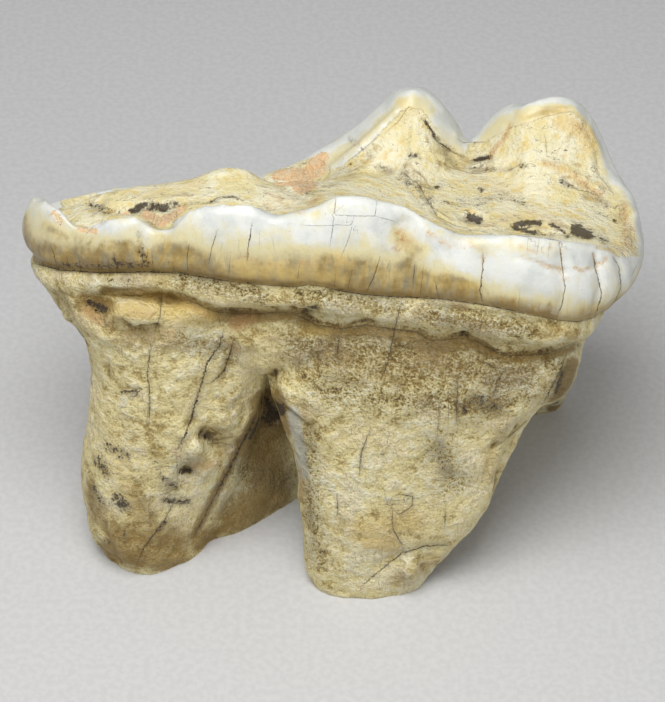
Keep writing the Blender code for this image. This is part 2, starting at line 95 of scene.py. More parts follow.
# ---- crown, seen from above: X and Y, then heights and insets along X ----
CROWN_AXIS = (0.0, 11.6)
SIDE_BLEND = 1.5  # either side of the axis, where the tongue side turns into the cheek side
END_BLEND = 6.0  # either side of the middle, where the heel end turns into the front end
OUTLINE = (
    (-22.7, 11.3), (-22.0, 8.0), (-19.3, 5.2), (-15.5, 3.7), (-11.5, 2.7), (-7.0, 1.8), (-2.2, 1.0),
    (1.6, 0.6), (4.9, 0.7), (8.2, 0.3), (12.6, 0.0), (16.6, 0.3), (20.2, 2.5), (22.3, 6.8), (23.0, 11.6),
    (22.8, 15.3), (20.8, 19.6), (17.5, 22.4), (14.3, 23.6), (10.4, 23.2), (6.2, 23.8), (1.8, 22.9),
    (-3.2, 21.3), (-8.5, 19.8), (-13.5, 18.5), (-18.0, 16.9), (-21.3, 14.4),
)
TONGUE_RIM = (
    (-23.0, 12.2), (-22.2, 12.4), (-21.3, 12.8), (-20.3, 13.3), (-19.3, 13.3), (-18.4, 12.6), (-17.6, 12.5),
    (-16.5, 13.2), (-14.8, 13.8), (-13.6, 13.9), (-12.7, 13.2), (-11.8, 13.1), (-10.7, 14.3), (-9.5, 15.0),
    (-7.0, 15.5), (-5.5, 15.5), (-4.0, 14.9), (-2.5, 15.2), (-1.2, 15.6), (0.0, 16.4), (1.7, 16.6),
    (3.6, 16.1), (5.4, 15.7), (6.9, 14.7), (8.9, 13.8), (11.0, 13.9), (13.8, 13.7), (15.9, 13.3),
    (17.7, 12.6), (19.3, 11.7), (20.5, 10.7), (21.6, 10.5), (23.0, 10.8),
)
CHEEK_RIM = (
    (-23.0, 12.2), (-21.0, 11.1), (-16.0, 10.6), (-10.0, 10.5), (-5.0, 10.5), (-2.4, 11.3), (-0.6, 12.3),
    (0.8, 13.1), (2.4, 14.3), (3.9, 15.8), (5.2, 17.2), (6.1, 17.5), (7.2, 16.9), (8.4, 15.6), (9.6, 13.8),
    (10.3, 12.5), (11.0, 13.1), (12.2, 14.7), (13.2, 15.8), (14.6, 16.8), (16.2, 17.1), (17.2, 17.0),
    (18.3, 16.4), (19.2, 15.2), (20.0, 13.6), (20.9, 11.9), (21.9, 11.2), (23.0, 10.8),
)
TONGUE_INSET = (
    (-23.0, 1.6), (-19.0, 1.0), (-12.0, 1.0), (0.0, 1.3), (8.0, 1.5), (15.0, 1.7), (20.0, 1.7), (23.0, 1.1),
)
CHEEK_INSET = (
    (-23.0, 1.6), (-16.0, 1.8), (-9.0, 2.2), (-3.0, 2.8), (0.5, 3.6), (3.5, 4.6), (6.1, 5.3), (8.4, 4.4),
    (10.3, 3.3), (12.5, 4.7), (15.0, 5.5), (17.5, 5.1), (19.5, 3.2), (21.5, 1.7), (23.0, 1.1),
)
TONGUE_RUN = ((-23.0, 1.2), (23.0, 1.2))
CHEEK_RUN = (
    (-23.0, 1.6), (-4.0, 2.0), (0.0, 3.5), (4.0, 5.2), (6.1, 6.0), (8.5, 4.5), (10.3, 3.0), (12.5, 4.6),
    (16.5, 5.6), (19.5, 3.5), (23.0, 1.5),
)
FLOOR = (
    (-23.0, 11.2), (-20.0, 11.1), (-18.0, 12.0), (-15.0, 12.75), (-12.5, 13.3), (-9.5, 13.75), (-7.5, 13.95),
    (-5.5, 13.8), (-3.0, 13.5), (-1.0, 13.3), (2.0, 12.9), (6.0, 12.3), (11.0, 11.9), (16.0, 11.7),
    (19.5, 11.0), (21.5, 10.2), (23.0, 10.0),
)
HEEL_CREST = 11.0
HEEL_TO_BASIN = 3.0  # either side of the middle, where the heel's floor turns into the basin's
FALL_BEHIND, FALL_BEFORE = 0.62, 0.035  # slopes away from the heel's crest
HEEL_GROOVE = (6.0, 1.6, 0.3)  # Y, half width, depth
BASIN = (8.0, 4.0, 0.35)  # Y, half width, depth
WORN_CUSP = (1.8, 1.0, 4.6, 6.5, 3.0)  # X, Y, half length, half width, height
CREST_POWER = 1.3
NECK = (
    (-23.0, 8.5), (-19.0, 9.0), (-13.0, 9.8), (-7.0, 9.4), (0.0, 9.35), (5.0, 8.75), (10.0, 8.25),
    (16.0, 7.3), (20.0, 6.8), (23.0, 6.9),
)
CHEEK_NECK_DROP = 1.6

# Rings of the wall: insets at the sides, the heel end and the front end, then the share of the way down.
WALL = (
    (0.72, 0.72, 0.72, 0.06), (0.42, 0.42, 0.42, 0.20), (0.16, 0.16, 0.16, 0.38), (0.02, 0.0, 0.0, 0.56),
    (0.02, 0.0, 0.2, 0.74), (0.14, 0.12, 0.8, 0.88), (0.38, 0.45, 1.2, 0.97), (0.62, 0.7, 1.45, 1.0),
)
TYPICAL_INSET = 1.2
SHOULDER = 0.4

# Rings below the neck: the same insets, then the drop.
BELOW = (
    (0.80, 0.85, 1.9, 0.25), (0.40, 0.5, 2.2, 0.9), (0.42, 0.4, 2.7, 1.7), (1.35, 0.8, 3.3, 2.3),
    (1.75, 1.4, 3.9, 3.0), (1.5, 2.1, 4.2, 4.2), (1.5, 3.4, 4.7, 5.6), (2.0, 4.9, 5.6, 7.2),
    (3.4, 6.8, 6.8, 8.4), (6.0, 9.0, 9.0, 9.2),
)
FORK_ROOF = 0.2
ROOF_SHARES = (0.6, 0.3, 0.0)

# Root sections: height, centre x and y, half length, half thickness, turn in degrees.
ROOTS = {
    "tongue root": (
        (7.0, 7.6, 6.6, 11.2, 5.6, 0), (3.0, 7.2, 6.2, 11.2, 5.0, 0), (0.0, 6.0, 5.8, 10.6, 4.7, 0),
        (-3.0, 5.4, 5.6, 9.2, 4.3, 0), (-6.5, 5.2, 5.3, 7.9, 3.9, 0), (-10.0, 4.6, 4.9, 7.0, 3.5, 0),
        (-13.0, 3.6, 4.4, 5.8, 2.9, 0), (-15.6, 2.7, 4.1, 4.7, 2.3, 0), (-17.4, 2.5, 4.0, 3.6, 1.7, 0),
    ),
    "heel root": (
        (7.0, -11.0, 8.6, 8.4, 5.6, 8), (3.0, -11.2, 8.4, 7.2, 5.2, 8), (0.0, -11.2, 8.3, 6.6, 4.9, 10),
        (-4.0, -11.8, 8.2, 6.5, 4.6, 14), (-8.0, -12.6, 8.1, 6.3, 4.3, 20), (-11.5, -13.2, 8.1, 5.6, 3.9, 26),
        (-13.6, -13.6, 7.8, 5.0, 3.5, 31), (-15.2, -13.4, 7.6, 4.2, 2.9, 32),
        (-17.4, -13.2, 7.4, 2.8, 2.2, 32),
    ),
    "hind cheek root": (
        (7.0, -4.5, 15.5, 9.5, 5.4, 8), (2.0, -3.5, 15.4, 8.6, 5.0, 14), (-3.0, -4.0, 15.0, 8.2, 4.4, 24),
        (-8.0, -5.2, 14.2, 8.0, 3.8, 33), (-12.0, -6.0, 13.5, 7.6, 3.4, 38),
        (-14.6, -6.4, 13.1, 7.0, 3.0, 40), (-16.2, -6.6, 12.9, 6.2, 2.6, 40),
    ),
    "front cheek root": (
        (6.0, 14.0, 16.6, 6.2, 5.2, -10), (1.0, 14.2, 16.8, 5.4, 4.6, -8), (-3.0, 14.5, 17.4, 4.7, 4.0, -5),
        (-6.0, 14.7, 18.8, 4.2, 3.4, 0), (-8.5, 15.0, 20.7, 3.8, 2.8, 5), (-10.8, 15.5, 22.4, 3.2, 2.0, 8),
        (-12.6, 15.7, 23.5, 2.4, 1.4, 8),
    ),
}

# Lumps (height above 0) and hollows (below 0): two end points, radius, height.
RELIEF = {
    "furrows between the enamel lobes": (
        ((5.2, 1.4, 14.6), (5.8, 0.6, 9.4), 0.9, -0.5), ((10.4, 0.4, 12.2), (10.5, 0.2, 8.9), 0.6, -0.25),
        ((15.9, 0.7, 12.2), (16.0, 0.3, 8.3), 0.6, -0.25), ((18.6, 2.0, 11.4), (18.9, 1.5, 8.1), 0.6, -0.25),
        ((20.4, 3.6, 10.6), (20.7, 3.3, 7.7), 0.6, -0.25),
        ((-19.0, 5.4, 12.2), (-18.6, 5.0, 10.0), 0.9, -0.4),
        ((-13.2, 3.6, 13.4), (-13.3, 3.0, 11.8), 0.8, -0.3),
    ),
    "swell of the enamel lobes": (
        ((8.0, 0.2, 11.6), (8.0, 0.2, 10.0), 1.5, 0.2), ((13.2, 0.0, 11.4), (13.2, 0.0, 9.6), 1.8, 0.15),
        ((-1.0, 1.0, 12.6), (2.0, 0.6, 12.0), 2.4, 0.2), ((-9.0, 2.2, 13.0), (-6.0, 1.6, 13.0), 1.8, 0.15),
    ),
    "heel end under the ledge": (
        ((-17.8, 4.4, 6.7), (-16.9, 4.0, 6.6), 0.9, -0.9), ((-14.8, 3.2, 6.7), (-13.2, 3.1, 6.5), 1.3, 0.5),
        ((-15.0, 3.1, 5.4), (-12.6, 2.9, 4.9), 0.7, -0.4), ((-10.4, 3.2, 7.0), (-9.6, 3.2, 7.1), 1.2, 0.35),
        ((-7.0, 3.1, 6.1), (-6.2, 3.1, 5.8), 1.0, -0.45), ((-19.3, 6.2, 6.4), (-18.2, 5.0, 6.0), 0.8, 0.35),
    ),
    "heel root": (
        ((-10.4, 3.9, -4.9), (-10.3, 3.9, -4.6), 0.8, 0.55),
        ((-11.2, 3.5, -3.3), (-11.1, 3.5, -3.0), 0.7, 0.35),
        ((-9.3, 4.3, -3.8), (-8.0, 4.8, -5.2), 1.0, -0.6),
        ((-10.8, 4.0, -6.8), (-10.7, 4.0, -7.2), 0.6, -0.35),
        ((-8.6, 3.6, 0.5), (-9.2, 3.8, -2.4), 1.1, -0.25), ((-6.3, 4.2, 1.2), (-7.6, 4.6, -3.0), 1.0, 0.3),
        ((-17.2, 5.2, -13.8), (-15.8, 4.6, -15.4), 1.0, -0.25),
    ),
    "tongue root": (
        ((2.5, 1.4, 4.6), (10.5, 1.2, 3.8), 2.0, -0.5), ((1.5, 1.8, -6.0), (2.2, 1.6, -12.0), 2.0, 0.25),
        ((4.6, 1.6, -13.5), (7.6, 2.0, -13.3), 1.4, -0.45), ((5.8, 1.8, -14.1), (5.9, 1.8, -14.4), 0.8, 0.5),
        ((12.3, 2.3, -3.0), (11.4, 2.6, -8.0), 0.9, 0.3), ((13.4, 3.0, -3.2), (12.2, 3.4, -8.2), 0.7, -0.4),
    ),
    "front cheek root": (((17.3, 15.5, -2.0), (17.1, 18.9, -9.0), 0.7, -0.5),),
    "worn pits of the chewing face": (
        ((-15.6, 8.3, 12.6), (-13.4, 7.9, 12.8), 0.6, -0.5),
        ((-17.6, 10.1, 12.4), (-17.0, 10.0, 12.4), 0.6, -0.35),
        ((10.0, 8.7, 11.6), (10.5, 8.7, 11.6), 0.7, -0.6), ((13.1, 7.1, 11.5), (15.6, 6.9, 11.4), 0.8, -0.5),
        ((17.2, 7.6, 11.1), (17.9, 7.2, 11.0), 0.7, -0.3),
    ),
    "worn cusps along the heel's crest": (
        ((-8.2, 11.2, 14.0), (-6.6, 11.2, 14.0), 1.4, 0.6),
        ((-4.6, 11.6, 13.6), (-4.2, 12.4, 13.2), 1.2, -0.4),
        ((-17.0, 10.8, 12.4), (-14.5, 11.0, 12.8), 1.0, 0.2),
    ),
    "facets on the hind cusp": (
        ((5.0, 17.6, 16.4), (1.6, 17.0, 13.8), 0.7, 0.3), ((5.2, 16.4, 15.6), (4.8, 14.6, 13.6), 1.5, -0.6),
        ((2.6, 15.8, 13.8), (1.2, 15.2, 13.4), 1.2, -0.3), ((7.0, 17.8, 15.8), (8.8, 18.4, 13.8), 0.6, 0.25),
    ),
    "facets on the front cusp": (
        ((13.3, 17.3, 14.9), (17.6, 17.5, 16.0), 0.6, 0.25),
        ((17.8, 17.9, 15.8), (19.6, 16.6, 13.4), 0.6, 0.25),
        ((15.4, 16.4, 14.8), (15.6, 14.6, 13.0), 1.8, -0.6),
        ((17.6, 15.6, 13.8), (18.2, 14.8, 13.0), 1.2, -0.3),
    ),
    "folds at the foot of the cusps": (
        ((5.9, 17.4, 15.6), (8.1, 17.6, 13.1), 0.7, -0.4),
        ((8.1, 17.6, 13.1), (10.4, 15.9, 12.6), 0.7, -0.35),
        ((12.5, 16.2, 12.2), (18.5, 15.4, 11.8), 0.7, 0.3), ((3.0, 14.6, 12.8), (4.0, 15.0, 12.9), 0.8, -0.4),
        ((-2.4, 17.6, 11.0), (-0.9, 17.2, 11.8), 1.3, -0.4),
        ((-3.4, 13.2, 12.6), (-0.4, 12.8, 12.6), 0.6, -0.35),
    ),
}

# ---- marks on the side that the camera sees: corners in pixels of its frame ----
NECK_LINE = (
    (14, 258), (33, 263), (60, 270), (100, 273), (145, 272), (178, 273), (208, 278), (231, 282), (262, 285),
    (293, 287), (309, 285), (324, 287), (345, 292), (366, 295), (397, 297), (440, 299), (478, 304),
    (504, 309), (531, 315), (557, 320), (578, 322), (596, 317), (609, 308), (624, 294), (645, 262),
)
ENAMEL_CREST = (
    (645, 262), (640, 249), (630, 257), (619, 256), (605, 251), (589, 246), (571, 241), (548, 238),
    (530, 234), (513, 232), (495, 232), (474, 233), (456, 230), (442, 224), (433, 217), (422, 210),
    (408, 205), (392, 203), (376, 200), (353, 194), (330, 195), (321, 200), (313, 209), (298, 213),
    (284, 211), (271, 210), (258, 203), (237, 201), (220, 201), (193, 205), (185, 209), (176, 219),
    (168, 227), (157, 227), (145, 217), (140, 212), (128, 213), (109, 217), (94, 223), (86, 229), (79, 227),
    (71, 217), (61, 205), (50, 198), (44, 190), (10, 190),
)
HIND_CUSP_ENAMEL = (
    (306, 158), (312, 150), (330, 140), (346, 130), (364, 115), (380, 99), (396, 84), (410, 70), (430, 75),
    (450, 95), (468, 120), (470, 141), (466, 156), (452, 148), (440, 138), (431, 122), (422, 110), (410, 108),
    (400, 113), (390, 123), (378, 136), (364, 149), (348, 162), (334, 171), (325, 162), (318, 159),
)
FRONT_CUSP_ENAMEL = (
    (470, 141), (474, 125), (490, 100), (512, 85), (560, 80), (600, 95), (625, 150), (655, 190), (660, 252),
    (637, 252), (635, 232), (631, 214), (623, 201), (611, 190), (604, 178), (599, 162), (594, 140),
    (584, 122), (571, 112), (556, 114), (540, 119), (522, 125), (507, 130), (495, 137), (484, 143),
)
# Where the band's white gives way to its yellow lower part.
YELLOW_LINE = (
    (10, 246), (50, 246), (80, 248), (110, 246), (140, 243), (170, 246), (200, 250), (250, 256), (300, 253),
    (340, 254), (380, 260), (410, 266), (440, 279), (470, 289), (500, 301), (550, 310), (600, 314),
    (625, 306), (650, 280),
)
# Whiter and yellower places of the enamel: change of its whiteness, radius in pixels, then the line.
ENAMEL_TONES = (
    (0.55, 5, (300, 162), (312, 153), (330, 148), (346, 139), (364, 125), (380, 109), (396, 94), (414, 89),
     (426, 92), (440, 104), (454, 116), (465, 130), (470, 141)),
    (0.55, 5, (470, 141), (484, 125), (495, 114), (514, 104), (541, 100), (559, 99), (576, 104), (589, 118),
     (601, 137), (610, 160), (618, 180), (631, 192), (639, 208), (642, 228), (643, 250)),
    (0.25, 3, (334, 168), (348, 159), (364, 146), (378, 133), (390, 120), (400, 110)),
    (0.35, 9, (440, 114), (464, 144)), (-0.3, 6, (545, 110), (572, 108), (590, 126), (597, 148)),
    (0.35, 5, (596, 128), (606, 152), (614, 178)), (-0.55, 9, (448, 280), (470, 288)),
    (-0.4, 8, (404, 268), (436, 284)), (-0.5, 9, (168, 250), (200, 262)), (-0.5, 9, (330, 264), (376, 276)),
    (-0.15, 8, (500, 300), (548, 308)), (-0.15, 6, (582, 308), (598, 306)),
    (0.35, 10, (462, 262), (470, 268)), (0.3, 9, (492, 266), (556, 280)), (0.3, 9, (574, 276), (586, 292)),
    (0.3, 7, (300, 236), (330, 238)), (0.25, 7, (236, 218), (258, 222)), (-0.35, 9, (400, 236), (412, 250)),
    (-0.3, 6, (430, 233), (480, 240)), (-0.25, 7, (496, 247), (560, 250)), (-0.3, 6, (46, 225), (60, 234)),
    (0.3, 6, (46, 204), (58, 208)), (0.3, 5, (96, 228), (112, 226)), (-0.3, 5, (284, 214), (314, 214)),
    (-0.3, 5, (104, 244), (128, 244)), (-0.4, 10, (36, 256), (60, 262), (150, 262)),
    (-0.35, 5, (24, 215), (28, 245)), (-0.25, 7, (500, 304), (552, 314)), (-0.2, 9, (394, 232), (425, 250)),
    (-0.2, 6, (471, 244), (490, 254)),
)
# Creases that the relief and the dark lines of painted shade both follow.
LEDGE_CREASES = (
    ((105, 290), (149, 293), (184, 298), (199, 305), (216, 312), (255, 314), (292, 312)),
    ((292, 312), (318, 326), (342, 329), (366, 325), (397, 330), (418, 332), (430, 341), (465, 338)),
    ((465, 338), (480, 343), (492, 350), (508, 356), (545, 354), (572, 344), (588, 346)),
)
BASIN_CREASE = ((401, 171), (419, 185), (429, 203), (438, 217), (456, 226), (479, 231), (508, 232))
# Height in millimetres (hollows below 0), radius in pixels, then the line that it follows.
SEEN_RELIEF = {
    "groove at the neck": ((-0.18, 3.0) + NECK_LINE[1:-1],),
    "ledge under the neck": (
        (0.22, 7, (70, 284), (103, 285), (140, 283), (175, 285), (205, 289), (248, 298), (292, 301)),
        (0.25, 8, (292, 300), (340, 306), (397, 313), (450, 320), (492, 328), (531, 338), (575, 338)),
        (-0.35, 4.5) + LEDGE_CREASES[0], (-0.40, 5) + LEDGE_CREASES[1], (-0.35, 4.5) + LEDGE_CREASES[2],
        (-0.3, 5, (305, 312), (316, 309)),
    ),
    "knobs of the heel end": (
        (-0.3, 6.5, (86, 303), (104, 306)), (0.15, 9, (122, 309), (150, 309)),
        (-0.5, 3.5, (121, 322), (133, 330), (158, 329)), (-0.3, 4, (110, 312), (112, 330)),
        (0.3, 6, (70, 316), (84, 322)), (0.25, 9, (190, 307), (204, 318)), (-0.35, 6, (236, 322), (244, 318)),
        (0.2, 5, (90, 328), (112, 340)),
    ),
    "knobs of the heel root": (
        (0.5, 7, (193, 446), (195, 449)), (0.35, 5.5, (181, 431), (184, 433)),
        (-0.4, 4.5, (203, 436), (213, 439)), (-0.35, 4, (186, 470), (189, 472)),
        (0.25, 6, (205, 420), (225, 424)), (-0.2, 4, (196, 420), (176, 430)),
        (-0.2, 3.5, (215, 447), (238, 445)), (0.2, 4, (224, 434), (240, 436)),
        (0.28, 5, (214, 462), (200, 476)), (0.25, 5, (262, 368), (256, 402), (240, 430)),
        (-0.22, 4, (248, 392), (232, 408), (222, 412)), (0.18, 5, (186, 556), (150, 562)),
        (-0.15, 3.5, (216, 490), (200, 520), (192, 540)), (-0.2, 4, (103, 528), (118, 560)),
        (-0.25, 6, (232, 344), (226, 372)),
    ),
    "crease where the cave opens": (
        (-0.3, 4, (274, 374), (270, 396)), (0.3, 5, (286, 386), (290, 400), (308, 418)),
        (-0.25, 3, (281, 404), (308, 424)), (0.22, 5, (296, 392), (318, 405)),
    ),
    "tongue root": (
        (-0.35, 4, (531, 417), (507, 438), (494, 449)), (0.2, 5, (524, 408), (500, 428)),
        (-0.2, 4, (494, 449), (484, 480)), (0.35, 6, (409, 569), (412, 572)),
        (-0.12, 3, (361, 587), (376, 569), (397, 554), (424, 547), (447, 545)),
        (-0.15, 6, (392, 508), (404, 545)), (0.2, 6, (443, 552), (428, 562)),
        (-0.25, 4, (424, 566), (430, 580)), (-0.12, 7, (340, 440), (336, 530)),
        (0.12, 9, (320, 440), (322, 540)), (-0.2, 8, (395, 385), (402, 385)),
        (0.15, 10, (300, 362), (360, 372)), (-0.15, 5, (440, 350), (448, 400)),
    ),
    "chewing face": (
        (-0.18, 2.2) + BASIN_CREASE,
        (-0.14, 2.0, (396, 176), (412, 190), (424, 206)),
        (-0.2, 2.4, (424, 119), (433, 132), (442, 148), (456, 157), (470, 161), (488, 157)),
        (-0.16, 2.2, (440, 152), (462, 164), (486, 168), (508, 166)),
        (0.14, 3, (446, 158), (470, 166), (494, 163)), (-0.3, 4, (468, 219), (479, 219)),
        (-0.2, 4, (514, 226), (540, 228), (564, 236)), (0.14, 2.5, (530, 226), (548, 231)),
        (-0.25, 4, (277, 180), (292, 192), (308, 198)), (-0.16, 4, (378, 165), (392, 172)),
        (-0.2, 4, (410, 155), (420, 155)), (-0.35, 4, (134, 211), (150, 207), (181, 205)),
        (0.25, 4, (140, 205), (182, 200)), (-0.15, 4, (92, 206), (108, 214)),
        (0.2, 4, (541, 164), (560, 166), (580, 178), (600, 190)), (-0.16, 4, (560, 180), (572, 187)),
        (-0.2, 3, (507, 127), (543, 115), (571, 112)),
        (-0.2, 3, (586, 124), (597, 150), (600, 172), (616, 192)),
        (0.2, 3, (331, 168), (362, 144), (396, 112)),
    ),
    "enamel": (
        (-0.5, 4.5, (148, 217), (158, 223), (170, 223), (180, 211)), (-0.2, 4, (100, 222), (84, 230)),
        (-0.2, 5, (266, 206), (276, 212)), (-0.16, 4, (397, 225), (404, 246)),
        (-0.12, 3, (516, 257), (538, 264), (566, 272)), (-0.14, 3, (576, 258), (588, 270), (604, 262)),
        (-0.2, 4, (616, 214), (630, 222), (636, 240)), (0.16, 5, (624, 206), (636, 216)),
        (-0.12, 2.5, (482, 250), (481, 300)), (-0.12, 2.5, (560, 242), (563, 290), (559, 316)),
        (-0.12, 2.5, (596, 254), (601, 284), (590, 318)),
    ),
}
# Cracks, and some lines of painted shade: width as a share of the usual one, darkness, then the line.
SEEN_CRACKS = {
    "enamel": (
        (1.0, 0.9, (252, 224), (249, 242), (247, 259)), (1.4, 1.0, (248, 250), (247, 260)),
        (0.7, 0.8, (217, 231), (212, 247), (209, 263)), (0.7, 0.7, (189, 244), (187, 256), (188, 272)),
        (0.7, 0.4, (165, 238), (162, 252)), (1.3, 0.8, (114, 253), (117, 272)),
        (1.3, 0.8, (79, 258), (81, 272)), (0.9, 0.7, (50, 244), (54, 256), (58, 270)),
        (1.3, 0.8, (56, 262), (58, 270)), (0.6, 0.6, (336, 195), (333, 226), (330, 246)),
        (0.5, 0.4, (300, 225), (318, 226), (340, 225), (356, 226)),
        (0.5, 0.6, (377, 201), (375, 216), (353, 216), (334, 215)),
        (0.5, 0.5, (354, 217), (350, 235), (341, 258)), (0.5, 0.5, (375, 216), (396, 222)),
        (0.8, 0.8, (380, 257), (375, 274), (365, 295)), (0.8, 0.9, (415, 263), (413, 284)),
        (1.0, 0.7, (435, 279), (437, 291), (439, 298)),
        (1.1, 1.0, (483, 254), (483, 269), (480, 291), (482, 302)),
        (0.9, 0.8, (559, 240), (562, 264), (565, 288), (562, 305), (557, 316)),
        (1.0, 0.9, (593, 254), (596, 271), (602, 295), (595, 316)),
        (0.9, 0.8, (612, 255), (619, 267), (621, 288), (614, 302)), (0.7, 0.6, (638, 262), (631, 277)),
        (0.5, 0.4, (272, 238), (275, 252)), (0.6, 0.4, (231, 252), (228, 280)),
        (0.5, 0.4, (300, 262), (297, 284)), (0.5, 0.3, (424, 262), (420, 296)),
        (0.5, 0.3, (520, 290), (518, 310)), (0.5, 0.4, (336, 272), (334, 289)),
        (0.5, 0.4, (352, 270), (347, 292)), (1.0, 0.7, (142, 248), (143, 268)),
        (0.8, 0.6, (152, 252), (153, 270)), (0.9, 0.7, (67, 258), (70, 271)),
        (0.9, 0.7, (98, 260), (99, 272)), (0.8, 0.6, (108, 258), (109, 272)),
        (0.8, 0.6, (126, 262), (132, 272)), (0.9, 0.6, (173, 262), (174, 272)),
        (0.5, 0.5, (539, 240), (537, 254)), (0.5, 0.5, (550, 241), (548, 256)),
        (0.5, 0.4, (528, 241), (527, 252)), (0.5, 0.6, (390, 262), (386, 270)),
        (0.4, 0.5, (400, 278), (410, 284)), (0.4, 0.5, (101, 267), (120, 265), (136, 262)),
    ),
    "neck": (
        (1.0, 1.0) + NECK_LINE[1:8], (0.6, 0.5) + NECK_LINE[7:12],
        (0.8, 0.9) + NECK_LINE[11:19], (0.5, 0.6) + NECK_LINE[18:22],
    ),
    "heel root": (
        (1.8, 1.0, (224, 329), (219, 347), (207, 362), (201, 386), (194, 407), (190, 423), (181, 444),
         (176, 451)),
        (1.6, 1.0, (233, 340), (230, 353), (224, 371), (210, 384)),
        (1.2, 0.9, (151, 346), (147, 373), (149, 386), (150, 401), (149, 423)),
        (1.1, 0.9, (175, 500), (166, 518), (153, 535), (144, 548), (137, 564)),
        (1.4, 0.9, (218, 490), (213, 499), (204, 518), (194, 536)),
        # Painted shade: the dark line in the gap where the heel root hides the hind cheek root.
        (2.2, 1.0, (257, 414), (249, 430), (238, 451), (227, 474), (213, 499)),
        (1.2, 0.8, (121, 346), (122, 356)), (0.7, 0.7, (109, 360), (110, 382)),
        (0.8, 0.7, (162, 292), (160, 316), (153, 336)), (0.9, 0.8, (218, 312), (221, 328)),
        (0.7, 0.5, (176, 452), (178, 480), (174, 498)), (0.6, 0.5, (188, 424), (172, 434)),
        (0.6, 0.6, (149, 401), (146, 430)), (0.5, 0.6, (115, 417), (122, 413), (131, 418)),
        (1.6, 0.9, (120, 396), (122, 391), (129, 392), (137, 390), (137, 396), (130, 397)),
        (0.8, 0.8, (162, 500), (174, 503), (191, 504)), (0.8, 0.7, (176, 495), (188, 499), (190, 503)),
        (0.7, 0.7, (153, 484), (159, 487), (153, 488)), (0.7, 0.6, (156, 470), (166, 466), (178, 468)),
        (0.8, 0.6, (202, 436), (218, 440), (239, 435)), (0.7, 0.6, (206, 444), (222, 443), (233, 446)),
        (1.6, 0.8, (166, 522), (157, 532)), (0.8, 0.6, (126, 507), (136, 510)),
        (0.6, 0.6, (166, 486), (172, 490), (166, 493), (174, 496)), (0.8, 0.7, (126, 530), (123, 540)),
        (0.6, 0.6, (102, 440), (106, 450)), (0.7, 0.7, (110, 446), (116, 454)),
        (0.7, 0.7, (118, 446), (125, 456)), (0.6, 0.6, (126, 444), (124, 452)),
    ),
    # Painted shade: dark lines along the creases under the overhanging ledge.
    "shade lines under the ledge": (
        (1.2, 0.6) + LEDGE_CREASES[0][2:], (1.5, 0.62) + LEDGE_CREASES[1], (1.5, 0.62) + LEDGE_CREASES[2],
    ),
    "tongue root": (
        (2.0, 0.9, (567, 352), (561, 370), (551, 388), (542, 406)),
        (1.0, 0.9, (401, 303), (397, 320), (391, 346), (387, 365), (379, 383)),
        (2.2, 1.0, (503, 371), (497, 383), (494, 396)), (1.3, 0.8, (476, 359), (502, 370)),
        (0.9, 0.8, (371, 427), (361, 453), (359, 477)), (1.3, 0.9, (337, 495), (338, 519)),
        (1.3, 0.9, (392, 508), (393, 529), (404, 548)), (0.8, 0.6, (384, 490), (387, 503)),
        (1.2, 0.9, (450, 545), (424, 546), (400, 554), (382, 569), (361, 587)),
        (1.0, 0.7, (531, 417), (507, 438), (494, 448)), (1.6, 0.9, (339, 334), (337, 360)),
        (0.6, 0.6, (481, 304), (482, 322), (478, 338)), (0.8, 0.8, (281, 404), (296, 414), (308, 424)),
        (1.0, 0.8, (392, 497), (400, 494), (413, 497), (412, 507), (400, 514), (393, 511)),
        (0.6, 0.5, (363, 440), (360, 475)), (0.5, 0.4, (368, 430), (365, 452), (361, 478)),
        (1.0, 0.6, (440, 398), (437, 440)), (1.2, 0.7, (458, 378), (456, 424)),
        (0.6, 0.6, (278, 395), (292, 403), (306, 408)), (1.2, 0.7, (446, 506), (444, 530)),
        (0.5, 0.4, (300, 350), (298, 372)),
    ),
    "chewing face": (
        (1.1, 0.9, (423, 120), (432, 130), (433, 137), (440, 143), (448, 149), (462, 157)),
        (1.8, 1.0, (470, 160), (480, 160), (491, 157)),
        (0.7, 0.6, (456, 138), (464, 143), (470, 142), (489, 142)),
        (0.6, 0.6, (437, 160), (452, 168), (474, 174), (500, 170)),
        (0.5, 0.5, (446, 163), (462, 168), (486, 168)), (0.7, 0.6, (502, 172), (512, 169), (521, 164)),
        (0.8, 0.7, (521, 164), (528, 168)),
        (0.7, 0.6, (561, 180), (568, 183), (578, 190), (590, 192), (602, 198)),
        (0.6, 0.6, (429, 196), (432, 207), (442, 213), (453, 221)),
        (0.6, 0.5, (413, 168), (424, 178), (432, 190)), (0.5, 0.5, (404, 160), (418, 157)),
        (0.7, 0.6) + BASIN_CREASE,
        (0.6, 0.4, (408, 108), (398, 122), (384, 134)), (0.6, 0.5, (448, 203), (462, 206)),
        (0.9, 0.7, (505, 232), (520, 236), (545, 238), (565, 242)),
        (0.7, 0.6, (213, 202), (222, 198), (237, 198)), (0.7, 0.6, (185, 205), (204, 204), (222, 202)),
        (0.6, 0.5, (545, 135), (547, 155)), (0.6, 0.35, (384, 132), (362, 150), (340, 168)),
    ),
}
